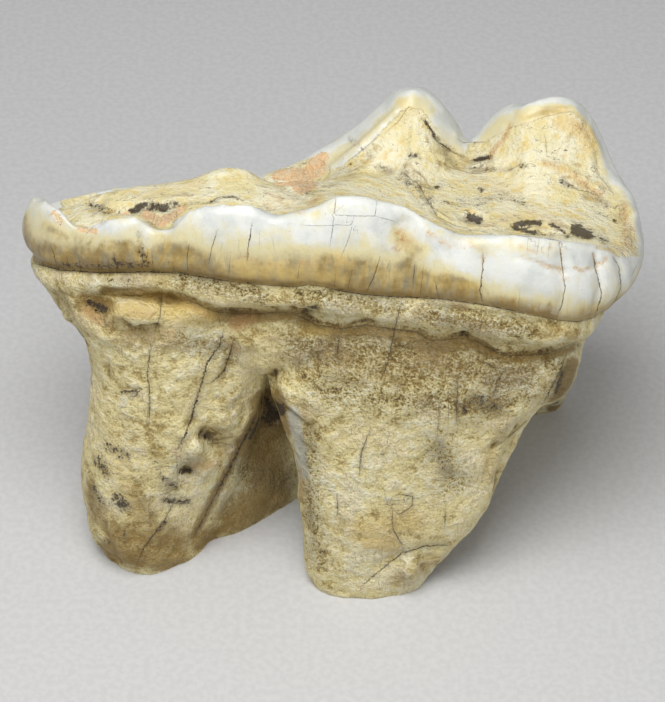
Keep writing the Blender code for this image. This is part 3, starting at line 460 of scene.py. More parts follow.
# Stains, some of them painted shade: strength, radius in pixels, then the line that each one follows.
SEEN_STAINS = {
    "ochre": (
        (0.6, 9, (126, 313), (150, 315)), (0.6, 8, (625, 208), (629, 246)),
        (1.0, 2.5, (394, 231), (402, 234), (403, 241), (397, 242)),
        (0.9, 2, (393, 247), (399, 252), (403, 247)), (0.45, 9, (400, 232), (420, 248)),
        (0.7, 4, (428, 232), (435, 236)), (0.45, 6, (442, 243), (460, 246)), (0.5, 6, (472, 244), (488, 254)),
        (0.8, 2, (521, 255), (530, 259), (544, 264)), (0.7, 4, (544, 265), (562, 269)),
        (0.5, 5, (558, 266), (564, 282)), (0.9, 2.5, (576, 268), (582, 271), (588, 268)),
        (0.7, 3, (595, 262), (602, 264), (607, 257)), (0.9, 1.5, (593, 254), (596, 271)),
        (0.8, 1.5, (559, 241), (562, 264)), (0.8, 1.5, (484, 254), (483, 266)),
        (0.7, 2, (550, 244), (549, 256)), (0.5, 4, (520, 246), (540, 254)),
        (0.5, 3, (248, 259), (262, 263), (290, 266)), (0.55, 5, (300, 262), (320, 266)),
        (0.5, 5, (52, 214), (62, 222)), (0.6, 4, (232, 259), (244, 256)), (0.5, 4, (324, 262), (350, 264)),
        (0.6, 4, (285, 209), (300, 212)), (0.8, 4, (266, 204), (276, 212)), (0.9, 4, (312, 204), (322, 196)),
        (0.5, 8, (272, 196), (290, 204)), (0.9, 3.5, (489, 158), (494, 149), (504, 139), (511, 125)),
        (0.6, 6, (572, 119), (586, 134)), (0.8, 5, (544, 164), (562, 168), (585, 184), (599, 195)),
        (0.5, 6, (504, 216), (536, 216), (560, 224)), (0.4, 5, (400, 108), (404, 124)),
        (0.5, 3, (504, 160), (520, 166)), (0.4, 4, (410, 108), (420, 116)),
        (0.5, 7, (622, 206), (630, 230), (622, 250)), (0.6, 4, (600, 246), (616, 250)),
        (0.5, 3, (480, 226), (512, 222)), (0.5, 4, (330, 180), (340, 176)), (1.0, 7, (88, 312), (98, 320)),
        (0.35, 8, (124, 306), (148, 306)), (0.4, 8, (178, 306), (206, 312)), (1.3, 8, (236, 324), (250, 317)),
        (0.6, 7, (165, 328), (175, 334)), (0.8, 5, (455, 306), (465, 308)), (0.7, 5, (228, 342), (236, 350)),
        (0.5, 6, (262, 340), (300, 336)), (0.25, 6, (370, 541), (392, 543)), (0.7, 4, (300, 470), (302, 500)),
        (0.6, 4, (490, 450), (486, 470)), (0.9, 6, (276, 412), (278, 420)), (0.6, 5, (272, 500), (282, 494)),
        (0.7, 5, (174, 452), (180, 458)), (0.7, 6, (196, 466), (212, 464)), (0.5, 6, (190, 484), (168, 486)),
        (0.5, 5, (106, 552), (120, 560)), (0.5, 12, (420, 350), (450, 362)),
        (0.4, 10, (400, 395), (420, 400)), (0.5, 4, (414, 574), (440, 556)), (0.4, 6, (120, 320), (96, 330)),
        (0.4, 10, (330, 345), (350, 360)),
    ),
    # Black mineral stains; the two marks at the cave's mouth, from (266, 402) to (252, 436), are painted
    # shade.
    "manganese": (
        (2.2, 3.2, (132, 211), (142, 207), (154, 206), (164, 209)), (0.95, 5, (168, 206), (180, 204)),
        (0.8, 6, (90, 204), (110, 213)), (0.9, 1.5, (182, 205), (211, 202)),
        (0.9, 1.5, (212, 201), (220, 197), (232, 196), (240, 199), (230, 203), (214, 202)),
        (0.5, 2.5, (120, 216), (110, 218)), (2.2, 4.5, (470, 218), (478, 220)),
        (1.2, 2.5, (480, 189), (482, 191)), (1.2, 2, (436, 187), (438, 187)),
        (1.3, 3.5, (513, 226), (526, 223), (540, 223)),
        (1.5, 3, (514, 228), (530, 233), (550, 236), (568, 237)),
        (1.2, 2.5, (550, 224), (562, 230), (568, 237)), (1.5, 7, (576, 230), (588, 236)),
        (0.8, 6, (594, 238), (606, 242)), (0.6, 4, (378, 165), (391, 172)), (0.8, 4, (409, 156), (418, 155)),
        (0.9, 2.5, (424, 120), (434, 134), (442, 146)), (1.6, 2, (474, 160), (490, 157)),
        (0.6, 4, (446, 160), (470, 168), (498, 170)), (0.7, 3, (443, 202), (457, 204)),
        (0.7, 4, (511, 199), (525, 204)), (0.9, 2.5, (519, 164), (524, 167)),
        (0.9, 3.5, (562, 181), (568, 185)), (0.6, 5, (425, 190), (440, 186)),
        (0.6, 9, (404, 176), (430, 200)), (0.5, 5, (350, 140), (372, 156)), (0.5, 5, (300, 190), (316, 196)),
        (0.5, 4, (362, 154), (336, 176)), (0.5, 12, (460, 205), (500, 196)), (0.6, 6, (588, 190), (606, 206)),
        (0.9, 2, (613, 220), (616, 222)), (0.6, 4, (138, 232), (143, 252)),
        (0.7, 6, (58, 266), (100, 266), (148, 264)), (0.9, 3, (114, 258), (118, 264)),
        (0.9, 3, (140, 252), (146, 258)), (0.4, 4, (160, 262), (190, 270)), (0.6, 5, (104, 280), (134, 282)),
        (1.0, 5, (302, 310), (316, 308)), (0.4, 6, (196, 278), (230, 284)), (1.1, 4.5, (89, 303), (106, 309)),
        (0.7, 3.5, (122, 392), (136, 392)), (0.95, 8.5, (117, 498), (124, 505)),
        (0.85, 8, (98, 460), (106, 474)), (0.9, 4, (164, 500), (188, 502)), (1.5, 3, (181, 471), (190, 471)),
        (0.8, 5, (160, 476), (176, 488)), (0.8, 5, (94, 488), (102, 502)), (0.9, 3, (158, 530), (166, 522)),
        (0.9, 4, (204, 437), (212, 440)), (0.7, 9, (108, 446), (126, 456)), (0.6, 4, (124, 532), (126, 542)),
        (0.7, 3.5, (104, 541), (110, 541)), (0.6, 4, (96, 490), (104, 500)), (0.5, 7, (150, 452), (160, 470)),
        (0.6, 4, (160, 486), (166, 490)), (1.7, 7, (266, 402), (280, 410)), (1.3, 5, (262, 420), (252, 438)),
        (0.5, 5, (240, 440), (222, 452)), (1.0, 3.5, (463, 405), (465, 412)),
        (0.6, 7, (396, 382), (402, 388)), (0.6, 13, (440, 448), (448, 470)),
        (0.7, 12, (474, 400), (496, 408)), (0.6, 4, (455, 380), (458, 420)), (0.8, 3, (382, 454), (384, 456)),
        (0.5, 3, (444, 512), (446, 522)), (0.5, 6, (384, 506), (404, 500)), (0.5, 6, (326, 376), (360, 386)),
        (0.5, 4, (500, 376), (494, 396)), (0.6, 3.5, (494, 440), (500, 448)),
        (0.4, 8, (310, 430), (312, 450)), (0.5, 6, (310, 510), (314, 540)), (0.5, 4, (440, 558), (452, 548)),
        (0.9, 3.5, (562, 372), (556, 392)), (0.7, 4, (556, 404), (550, 408)),
    ),
    "clay": (
        (1.4, 8, (280, 178), (304, 176)), (1.5, 8, (300, 184), (318, 166)), (1.3, 5, (312, 163), (324, 157)),
        (1.2, 5, (300, 190), (312, 184)), (1.5, 4.5, (146, 215), (160, 222), (174, 217), (182, 210)),
        (0.9, 2, (95, 224), (112, 217), (133, 211)), (0.7, 4, (54, 213), (60, 221)),
        (0.95, 3.5, (80, 229), (95, 231)), (1.2, 4.5, (273, 418), (278, 421)),
        (0.4, 4, (262, 320), (246, 326)), (0.42, 7, (622, 210), (628, 245)),
    ),
    "blue grey": (
        (1.2, 6.5, (293, 412), (298, 438), (303, 473)), (0.5, 10, (142, 236), (146, 244)),
        (0.4, 8, (100, 240), (120, 236)), (0.4, 14, (126, 400), (130, 440), (140, 470)),
        (0.4, 10, (380, 500), (400, 495)), (0.4, 8, (530, 305), (560, 312)),
        (0.2, 14, (470, 420), (450, 440)), (0.4, 8, (330, 200), (345, 235)),
        (0.35, 10, (246, 240), (262, 250)),
    ),
    # Brownish tones and painted shade: the lines along the creases under the ledge and the wide band below
    # them, the cave and the fork, the gap where the heel root hides the hind cheek root, that root's face,
    # the feet of the heel and tongue roots and the front cheek root's stub are painted shade; the chewing
    # face's marks and the ledge's band are stains, and the heel end's pit is both.
    "brown": (
        (0.4, 9, (70, 281), (140, 281), (205, 287), (292, 300)),
        (0.45, 9, (292, 300), (397, 312), (430, 318)), (0.9, 7, (397, 340), (430, 350), (470, 348)),
        (0.75, 9, (430, 318), (492, 326), (575, 336)), (0.7, 15, (136, 490), (150, 530)),
        (0.4, 22, (350, 530), (410, 530)), (0.9, 6, (236, 322), (250, 316)),
        (0.65, 30, (310, 352), (420, 366), (530, 372)), (0.55, 14, (300, 410), (312, 430)),
        (0.6, 18, (430, 400), (500, 404)), (0.9, 4, (448, 150), (470, 161), (490, 158)),
        (0.7, 6, (440, 164), (470, 172), (510, 171)), (0.7, 6, (546, 166), (584, 186)),
        (0.6, 8, (500, 222), (560, 228)), (0.5, 10, (400, 160), (424, 186)), (0.6, 8, (92, 204), (112, 214)),
        (0.6, 6, (130, 206), (184, 204)), (0.6, 6, (300, 196), (340, 182), (372, 158)),
        (0.5, 8, (585, 196), (606, 206)), (0.4, 6, (212, 200), (240, 199)),
        (1.3, 24, (262, 450), (270, 500), (240, 520)), (1.1, 14, (225, 530), (200, 545)),
        (2.6, 8, (84, 302), (106, 307)), (0.8, 10, (88, 306), (110, 322)),
        (1.7, 5, (105, 292), (149, 295), (184, 300), (199, 307)),
        (1.6, 6, (199, 308), (216, 316), (255, 318), (292, 315)),
        (1.5, 6, (300, 320), (318, 330), (342, 333), (366, 330), (397, 334)),
        (1.6, 6, (397, 334), (418, 336), (430, 345), (465, 342), (480, 347), (492, 354)),
        (1.2, 5, (492, 354), (508, 360), (545, 358), (572, 348)), (2.6, 14, (268, 404), (280, 422)),
        (2.0, 11, (262, 424), (246, 446)), (0.7, 8, (110, 330), (160, 336)),
        (0.5, 12, (210, 320), (270, 330)), (0.6, 8, (232, 350), (224, 372)),
        (0.6, 12, (236, 400), (216, 440)), (0.6, 14, (200, 470), (230, 452)),
        (0.5, 10, (300, 430), (310, 520)), (0.4, 10, (500, 430), (490, 480)),
        (0.6, 12, (430, 560), (400, 580)), (0.4, 10, (330, 560), (340, 580)), (0.5, 10, (60, 285), (90, 300)),
        (0.4, 10, (150, 338), (190, 345)), (1.6, 7, (572, 364), (564, 388), (553, 406)),
        (0.5, 8, (546, 352), (566, 352)), (1.2, 5, (257, 414), (238, 451), (213, 499), (194, 536)),
        (0.6, 10, (110, 340), (250, 346)), (0.45, 5, (126, 306), (146, 314)), (0.5, 14, (60, 300), (80, 318)),
        (1.0, 20, (118, 535), (176, 545)), (1.4, 12, (106, 552), (186, 566)),
        (0.8, 9, (100, 510), (112, 545)), (0.8, 6, (90, 480), (94, 520)), (0.25, 16, (440, 450), (460, 480)),
    ),
    "yellow": (
        (1.3, 9, (562, 122), (584, 132), (590, 146)), (0.7, 6, (520, 118), (560, 110)),
        (0.6, 7, (400, 100), (416, 112)), (0.3, 5, (336, 160), (362, 140), (392, 112)),
        (0.8, 12, (240, 268), (340, 276)), (0.5, 10, (480, 184), (520, 190)),
        (0.5, 9, (140, 196), (200, 184)), (1.3, 12, (174, 312), (206, 316)),
        (1.5, 10, (118, 311), (152, 309)), (1.5, 8, (368, 541), (392, 543)),
        (0.35, 20, (330, 350), (500, 372)), (0.8, 8, (300, 332), (326, 332)),
        (0.5, 12, (120, 470), (140, 520)), (0.4, 16, (440, 450), (430, 500)),
        (0.7, 18, (360, 530), (410, 520)), (0.5, 8, (190, 254), (170, 262)), (0.6, 6, (440, 284), (476, 286)),
        (0.4, 6, (580, 150), (590, 190)),
    ),
    "grain": (
        (0.9, 10, (548, 362), (566, 372), (560, 395)), (0.85, 24, (300, 345), (420, 360), (520, 380)),
        (0.8, 20, (320, 390), (440, 400), (500, 400)), (1.0, 8, (180, 278), (260, 296)),
        (1.0, 10, (420, 312), (530, 332)), (0.8, 10, (300, 295), (400, 306)),
        (0.8, 12, (310, 440), (316, 560)), (0.8, 20, (440, 450), (450, 480)),
        (0.7, 12, (240, 470), (280, 480)), (0.9, 8, (622, 210), (628, 245)), (1.0, 6, (400, 230), (404, 250)),
        (0.8, 8, (300, 172), (312, 186)), (0.8, 5, (150, 220), (176, 216)), (0.6, 14, (190, 340), (230, 352)),
        (0.6, 12, (170, 490), (186, 460)), (0.6, 8, (500, 245), (556, 248)),
    ),
}
# Painted shade in the dark hollow behind the fork of the two near roots: browner and black round this point,
# in millimetres of the part's own frame.
CAVE_MOUTH = (-4.7, -3.5, 9.0)
CAVE_SHADE = {"brown": (2.6, 2.2), "manganese": (1.2, 1.3)}  # strength, radius

# ---- the unseen side: marks at random places, from one seed ----
UNSEEN_SEED = 11
UNSEEN_CRACKS = 26
UNSEEN_CRACK_HEIGHTS, UNSEEN_CRACK_PLACE = (-12, 11), (0.2, 0.8)  # the second in shares of its turn
UNSEEN_SWAY, UNSEEN_LEAN = 0.035, 0.01  # radians, radians for each millimetre of height
UNSEEN_PACE, UNSEEN_START = (0.4, 0.9), (0, 6)  # of the sway: radians for each millimetre, radians
UNSEEN_NECK_LINE = 0.8
UNSEEN_STAIN_SIZE, UNSEEN_STAIN_STRENGTH = (0.5, 1.4), (0.4, 1.0)  # the first in shares of the usual one
UNSEEN_STAINS = {
    "ochre": (26, 0.9),
    "manganese": (60, 0.6),
    "blue grey": (8, 1.6),
    "brown": (26, 2.0),
    "yellow": (14, 2.2),
    "grain": (30, 2.6),
}

# ---- finish: roughness, then how the paint is laid on ----
DULL = (0.66, 0.42)  # roughness of roots and dentine
GLOSSY, GLOSS_UNEVEN, DULLEST = 0.27, 0.2, 0.85  # of enamel, how uneven it is there, of clay and cracks

# Noises of the finish: size in millimetres, layers, roughness and, for the swirl, distortion.
NOISES = {
    "slow": (5.5, 2),
    "wide": (2.4, 4),
    "middle": (0.8, 5, 0.6),
    "small": (0.34, 4, 0.7),
    # Painted shade: roots and dentine darker in hollows and grooves, the deeper they lie under the smoothed
    # surface.
    "tiny": (0.16, 2, 0.6),
}
STREAK_STRETCH, STREAK = (1, 1, 0.16), (0.5, 4, 0.6)
SWIRL_STRETCH, SWIRL = (0.45, 1.2, 1.2), (1.8, 3, 0.55, 1.4)

# How much each noise, less its middle value, adds to what it breaks up.
EDGE_BREAKS = {"small": 0.5, "middle": 0.4}
EDGE_STREAKS = 2.0
ROOT_GRAIN = {"small": 2.0, "tiny": 2.2}
ROOT_LIGHT, ROOT_PATCHES = 0.72, {"slow": 0.6, "wide": 1.4, "middle": 1.5}
ROOT_PROUD, ROOT_DARKER = 0.15, 0.12
ROOT_BROWNED, ROOT_UNBROWNED, GRAIN_UNBROWNED = 0.9, 0.8, 0.7
DENTINE_SHADE = {"swirl": 2.4, "small": 0.8}
ENAMEL_CLOUDS = {"middle": 0.65, "wide": 0.7, "streak": 0.6}
CRACK_WOBBLE = {"small": 0.3, "tiny": 0.1}
STAIN_BREAKS = {"broken": ("middle", 1.2), "speckled": ("small", 1.6), "dusty": ("tiny", 1.4)}
UNEVEN = {"wide": 0.6, "middle": 0.4}  # shares of the noises themselves

# Every stain: how much its field counts and how much it is broken up.
STAINS = {
    "yellowed": {"yellow": 1.0, "broken": 1.0},
    "cooled": {"blue_grey": 1.0, "broken": 1.0, "speckled": 0.4},
    "rusty": {"ochre": 1.0, "broken": 1.1, "speckled": 0.8},
    "clayed": {"clay": 1.0, "speckled": 0.45},
    # The last two also lay the painted shade in the cave.
    "sooty": {"manganese": 1.0, "broken": 0.9, "dusty": 1.0},
    "blackened": {"manganese": 0.95, "speckled": 1.4, "dusty": 0.6},
}

# Layers of paint: a colour, the most of it, then the values that it follows: where it starts and is full, or
# for a line the level that it follows and how far it fades.
ROOT_LAYERS = (
    ("cementum_tan", 1.0, ("light", -0.05, 0.36)),
    ("cementum_pale", 1.0, ("light", 0.28, 0.64)),
    ("cementum_cream", 1.0, ("light", 0.66, 1.02)),
    ("yellow", 0.45, ("wide", 0.47, 0.62), ("middle", 0.38, 0.6)),
    ("blue_grey", 0.25, ("slow", 0.5, 0.62), ("middle", 0.4, 0.62)),
    # Umber where the stains and the painted shade of the roots lie.
    ("cementum_umber", 0.8, ("browned", 0.08, 1.0)),
)
VEINS = (
    (("streak", 0.52, 0.01, "line"), ("wide", 0.48, 0.6)),
    (("middle", 0.5, 0.007, "line"), ("wide", 0.46, 0.58), ("small", 0.46, 0.58)),
)
DENTINE_LAYERS = (
    ("dentine_pale", 1.0, ("uneven", 0.42, 0.56)),
    ("yellow", 0.55, ("middle", 0.46, 0.34)),
    ("cementum_tan", 0.6, ("middle", 0.54, 0.68), ("slow", 0.45, 0.55)),
    ("cementum_brown", 0.8, ("swirl", 0.5, 0.012, "line"), ("middle", 0.42, 0.56)),
    ("cementum_brown", 0.8, ("small", 0.62, 0.72), ("wide", 0.46, 0.6)),
    ("cementum_umber", 0.7, ("shaded", 0.3, 1.15)),
)
ENAMEL_LAYERS = (
    ("enamel_cream", 1.0, ("clouds", -0.1, 0.45)),
    ("enamel_white", 1.0, ("clouds", 0.4, 0.95)),
    ("enamel_blue", 0.5, ("wide", 0.44, 0.66), ("white", 0.35, 0.75)),
    ("cementum_brown", 0.3, ("streak", 0.46, 0.008, "line"), ("slow", 0.48, 0.6)),
    ("yellow", 0.55, ("uneven", 0.38, 0.66), ("white", 0.62, 0.1)),
    ("enamel_grey", 0.65, ("streak", 0.48, 0.62), ("white", 0.55, 0.05)),
    ("cementum_umber", 0.8, ("edge", 1.3, 0.0), ("white", 0.7, 0.15), ("crown_height", 2.8, 1.2)),
    ("cementum_tan", 0.3, ("hollow", 0.02, 0.12)),
)
THIN_STAINS = (
    ("yellow", 0.55, ("yellowed", 0.15, 0.95)),
    ("blue_grey", 0.75, ("cooled", 0.2, 0.9)),
    ("rust_wash", 0.6, ("rusty", 0.15, 0.95)),
)
RUST_CURLS = (("small", 0.5, 0.03, "line"), ("tiny", 0.56, 0.64))
CLAY_LAYERS = (
    ("ochre", 0.35, ("small", 0.54, 0.66)),
    ("ochre", 0.35, ("small", 0.5, 0.015, "line")),
)
BLACK_STAINS = (
    ("cementum_brown", 0.45, ("sooty", 0.15, 0.95)),
    ("manganese", 0.88, ("blackened", 0.58, 0.9)),
)
VEIN_SHARE, HOLLOW_SHADE_SHARE, CURL_SHARE, HALO_SHARE = 0.7, 0.9, 0.8, 0.35
ENAMEL_FADE, CROWN_FADE = (-0.05, 0.08), (-0.3, 0.3)
# The first three set the painted shade in hollows: the fine and wide bands and how dark each makes it.
HOLLOW_SHADE_FINE, HOLLOW_SHADE_WIDE, HOLLOW_SHADE_DARK, PROUD = (0.01, 0.14), (0.05, 0.6), 0.3, (-0.015, -0.1)
LEAST_GRAIN, MORE_GRAIN = 0.3, 0.8
RUST_CORE, CLAY_FADE, CLAY_PALER = (0.45, 0.9), (0.36, 0.52), (0.4, 0.62)
CRACK_LINE, CRACK_HALO, HALO_PATCHES = (0.01, 0.048), (0.02, 0.3), (0.36, 0.56)
CRACK_LEAST, CRACK_MORE, CRACK_BREAKS = 0.55, 0.45, (0.4, 0.54)

# Height of the finish's own relief.
BUMP_GRAIN, BUMP_LUMPS, BUMP_DENTINE = {"small": 0.75, "tiny": 0.25}, 0.7, 0.45
BUMP_ENAMEL, BUMP_CLAY, BUMP_CRACK = 0.05, 0.35, -0.09

# The numbers stored on the mesh, three to a name.
FIELD_NAMES = {
    "kinds": ("enamel_depth", "crown_height", "white"),
    "crack_gaps": ("gap_a", "gap_b", "gap_neck"),
    "crack_shows": ("show_a", "show_b", "show_neck"),
    "stains": ("ochre", "manganese", "clay"),
    "tones": ("blue_grey", "brown", "yellow"),
    "hollows": ("hollow", "wide_hollow", "grain"),
}

# ---- how shapes and fields are worked out, millimetres unless a line says otherwise ----
HASH_AXES = np.array([73856093, 19349663, 83492791])  # large primes
HASH_SEED = 40503
HASH_STIR = 1274126177
LAYER_SHIFT = 7.3  # lattice cells between the layers of a noise

SLOW_LUMPS = (2.4, 2, 21)  # size, layers and seed of each noise in the surface
FINE_GRAIN = (0.85, 2, 31)
ENAMEL_RIPPLE = (1.3, 2, 41)
RIPPLE_STRETCH = (1, 1, 0.35)
NECK_CLOUDS = (3.0, 2, 5)
GRAIN_EVERYWHERE, GRAIN_ON_CROWN = 0.45, 0.55  # shares of the strongest grain
NECK_EDGE, ENAMEL_EDGE, ENAMEL_EDGE_SEEN = (-0.6, 0.2), (-0.1, 0.4), (-3, 6)  # the last in pixels
GROUND_SLAB = (0.08, 0.06, 0.02)  # metres

FOLD_FACING = 0.2  # share of the old direction under which a vertex counts as folded over
FOLD_ROUNDS, FOLD_SHARE = 6, (0.02, 0.25)
OPENING_ROUNDS = 30

SIGHT_CELL = 5.0  # pixels
SIGHT_FACING = (0.02, 0.22)
SIGHT_DEPTH, SIGHT_DEPTH_ASLANT, SIGHT_FADE = 0.7, 0.4, 0.8
SIGHT_ROUNDS = 5
FLATTEST_FACING = 0.15
HIDDEN_UNDER = (0.05, 0.4)  # shares of being seen
SHOWN_FROM, UNSEEN_FROM = (0.5, 0.9), (0.6, 1.0)
STEEP_WALL = (0.3, 0.6)  # sideways share of a wall's direction

REACH = 0.8  # either side of a crack in which its line may show
CRACK_ENDS = (0.02, 0.2)
CRACK_TAPER, CRACK_THINNEST = 0.9, 0.35
FINE_HOLLOWS, WIDE_HOLLOWS = 6, 60  # rounds of smoothing that hollows are measured against

ENAMEL_LIP = 0.7  # how far over the rim enamel reaches where the camera doesn't see
CROWN_FROM = 1.6  # height above the neck where roots and ledge end
YELLOW_FADE = (-32, 40)  # pixels below and above the yellow line
HEEL_END_AT = (30, 130)  # pixels across the frame
FRONT_END_AT = (430, 500)
WHITEST, HEEL_END_DULLER, FRONT_END_LEAST, BEVEL_WHITE = 0.90, 0.25, 0.35, 0.48  # shares of white
BEVEL_EDGE = -0.3
WHITE_ABOVE_NECK = (1.0, 3.4)

# ---- stage: powers in watts, places and sizes in metres ----
KEY_POWER = 0.365
FILL_POWER = 0.055
SKY = 0.26
KEY_PLACE, KEY_SIZE = (-0.03, -0.06, 0.19), 0.13
FILL_PLACE, FILL_SIZE = (0.13, -0.13, 0.10), 0.10
LIT_POINT = (0, 0, 0.015)
FLOOR_ROUGHNESS = 0.7
FLECKS, FLECK_FADE, FLECK_SHADE = (0.5, 3), (0.35, 0.65), 0.93


# ---- what a user can change ----
def colour(name, text, value):
    """A colour property with its default, in linear red, green and blue."""
    return bpy.props.FloatVectorProperty(
        name=name, description=text, subtype="COLOR", size=4, min=0, max=1, default=value + (1,))


def length(name, text, value):
    """A length property whose default is given in millimetres."""
    size = value * MM
    return bpy.props.FloatProperty(name=name, description=text, default=size, precision=6, unit="LENGTH")


def power(name, text, value):
    """A light's power property."""
    return bpy.props.FloatProperty(name=name, description=text, default=value, unit="POWER")


class FossilToothShape(bpy.types.PropertyGroup):
    """Sizes of the tooth."""

    cell: bpy.props.FloatProperty(
        name="Cell", description="Size of the cells that fuse the crown and the roots",
        default=CELL * MM, min=0.0002, precision=6, unit="LENGTH")
    softening: bpy.props.IntProperty(
        name="Softening", description="Rounds of smoothing on the fused surface", default=SOFTENING, min=0)
    lean: bpy.props.FloatProperty(
        name="Lean", description="How far the tooth leans back onto its root tips",
        default=math.radians(LEAN), subtype="ANGLE")
    unevenness: length("Unevenness", "Height of the slow lumps and hollows below the neck", UNEVENNESS)
    grain: length("Grain", "Height of the grain on roots and ledge", GRAIN)
    ripple: length("Ripple", "Height of the ripple in the enamel", RIPPLE)


class FossilToothFinish(bpy.types.PropertyGroup):
    """Colours of the tooth."""

    enamel_white: colour("Enamel", "Clean enamel", (0.74, 0.75, 0.70))
    enamel_blue: colour("Enamel shadow", "Bluish clouds in the enamel", (0.47, 0.50, 0.48))
    enamel_cream: colour("Enamel cream", "Enamel on bevels and lobes", (0.70, 0.63, 0.37))
    enamel_yellow: colour("Enamel yellow", "Stained enamel near the neck", (0.29, 0.205, 0.074))
    enamel_grey: colour("Enamel grey", "Sooty streaks in the stained enamel", (0.27, 0.235, 0.15))
    dentine: colour("Dentine", "Worn chewing face", (0.75, 0.66, 0.36))
    dentine_pale: colour("Pale dentine", "Polished patches of the chewing face", (0.80, 0.75, 0.53))
    cementum_cream: colour("Cream cementum", "Lightest grains of the roots", (0.99, 0.93, 0.66))
    cementum_pale: colour("Pale cementum", "Pale patches of the roots", (0.81, 0.70, 0.355))
    cementum_tan: colour("Tan cementum", "Common colour of the roots", (0.47, 0.348, 0.122))
    # Soil colour of pores, also laid as painted shade in hollows and in the cave.
    cementum_brown: colour("Brown cementum", "Soil in pores and hollows", (0.12, 0.078, 0.034))
    # Umber: bands of the roots, and the painted shade under the ledge, at the roots' feet and in the cave.
    cementum_umber: colour("Umber cementum", "Evenly browned bands of the roots", (0.27, 0.166, 0.038))
    clay: colour("Clay", "Cave clay stuck to chips", (0.93, 0.62, 0.34))
    ochre: colour("Ochre", "Iron stains", (0.40, 0.185, 0.05))
    rust_wash: colour("Rust wash", "Thin iron stain round the darker spots", (0.62, 0.41, 0.18))
    # Black of the mineral stains, and of the painted shade in the cave.
    manganese: colour("Manganese", "Black mineral stains", (0.034, 0.023, 0.014))
    # Inside of the cracks, and the dark lines of painted shade in the ledge's creases and in the gap between
    # the near roots.
    crack: colour("Crack", "Inside of the cracks", (0.055, 0.036, 0.020))
    blue_grey: colour("Blue grey", "Cool mineral bloom", (0.60, 0.61, 0.53))
    yellow: colour("Yellow", "Warm patches", (0.70, 0.50, 0.15))


class FossilToothStage(bpy.types.PropertyGroup):
    """Floor, light and camera."""

    floor: colour("Floor", "Colour of the floor", (0.60, 0.60, 0.60))
    key_power: power("Key light", "Power of the main soft light", KEY_POWER)
    fill_power: power("Fill light", "Power of the second soft light", FILL_POWER)
    sky: bpy.props.FloatProperty(
        name="Sky", description="Brightness of the even light all round", default=SKY, min=0)


# ---- curves and noise ----
def flow(points, at):
    """Smooth curve through points (position, value): cubic between neighbours, the chord's slope at each.

    Between two points, t runs from 0 to 1. The value is their blend by three t squared less two t cubed,
    plus the step times t times one less t, times the first slope (by one less t) less the second (by t)."""
    table = np.asarray(points, float)
    place, value = table[:, 0], table[:, 1]
    slope = np.gradient(value, place)
    at = np.clip(at, place[0], place[-1])
    i = np.clip(np.searchsorted(place, at) - 1, 0, len(place) - 2)
    step = place[i + 1] - place[i]
    t = (at - place[i]) / step
    rise = t * t * (3 - 2 * t)
    bend = t * (1 - t)
    return value[i] * (1 - rise) + value[i + 1] * rise + step * bend * (slope[i] * (1 - t) - slope[i + 1] * t)


def ease(low, high, at):
    """0 below low and 1 above high, and three t squared less two t cubed between them."""
    t = np.clip((at - low) / (high - low), 0, 1)
    return t * t * (3 - 2 * t)


def bell(away):
    """1 at 0, falling away on both sides: e to the power of less the distance squared."""
    return np.exp(-(away**2))


def lattice_noise(points, seed):
    """Noise from -1 to 1: each whole-number corner has a hashed height, and the eight round a point blend."""
    corner_cell = np.floor(points).astype(np.int64)
    part = points - corner_cell
    part = part * part * (3 - 2 * part)
    total = np.zeros(len(points))
    for corner in range(8):
        step = np.array([corner & 1, corner >> 1 & 1, corner >> 2 & 1])
        key = (corner_cell + step) @ HASH_AXES + seed * HASH_SEED
        key = ((key ^ (key >> 13)) & 0x7FFFFFFF) * HASH_STIR & 0xFFFFFFFF
        height = ((key ^ (key >> 15)) & 0xFFFF) / 32767.5 - 1
        total += height * np.prod(np.where(step == 1, part, 1 - part), axis=1)
    return total


def layered_noise(points, size, layers, seed):
    """Lattice noise at a size, then at half of it and half as high, and so on."""
    total = np.zeros(len(points))
    for layer in range(layers):
        total += lattice_noise(points / size * 2**layer + LAYER_SHIFT * layer, seed + layer) * 0.5**layer
    return total


# ---- crown ----
def widest(angle):
    """The widest outline in a direction from the axis: its radius flows through the outline's points."""
    away = np.array(OUTLINE) - np.array(CROWN_AXIS)
    turn = np.unwrap(np.arctan2(away[:, 1], away[:, 0]))
    reach = np.hypot(away[:, 0], away[:, 1])
    laps = np.concatenate([turn - math.tau, turn, turn + math.tau])
    radius = flow(np.stack([laps, np.tile(reach, 3)], 1), angle)
    return CROWN_AXIS[0] + radius * np.cos(angle), CROWN_AXIS[1] + radius * np.sin(angle)


def outward(angle, nudge=0.001):
    """Direction straight out of the outline: its tangent turned a quarter."""
    x0, y0 = widest(angle - nudge)
    x1, y1 = widest(angle + nudge)
    length = np.hypot(x1 - x0, y1 - y0)
    return (y1 - y0) / length, (x0 - x1) / length


def floor_height(x, y):
    """The chewing face's floor: a height along the tooth and a cusp, less the heel's falls or the basin."""
    heel = 1 - ease(-HEEL_TO_BASIN, HEEL_TO_BASIN, x)
    behind = np.clip(y - HEEL_CREST, 0, None)
    before = np.clip(HEEL_CREST - y, 0, None)
    groove, basin_dip = (deep * bell((y - at) / wide) for at, wide, deep in (HEEL_GROOVE, BASIN))
    heel_dip = FALL_BEHIND * behind + FALL_BEFORE * before + groove
    middle_x, middle_y, spread_x, spread_y, height = WORN_CUSP
    cusp = height * np.exp(-(((x - middle_x) / spread_x) ** 2) - ((y - middle_y) / spread_y) ** 2)
    return flow(FLOOR, x) + cusp - heel * heel_dip - (1 - heel) * basin_dip


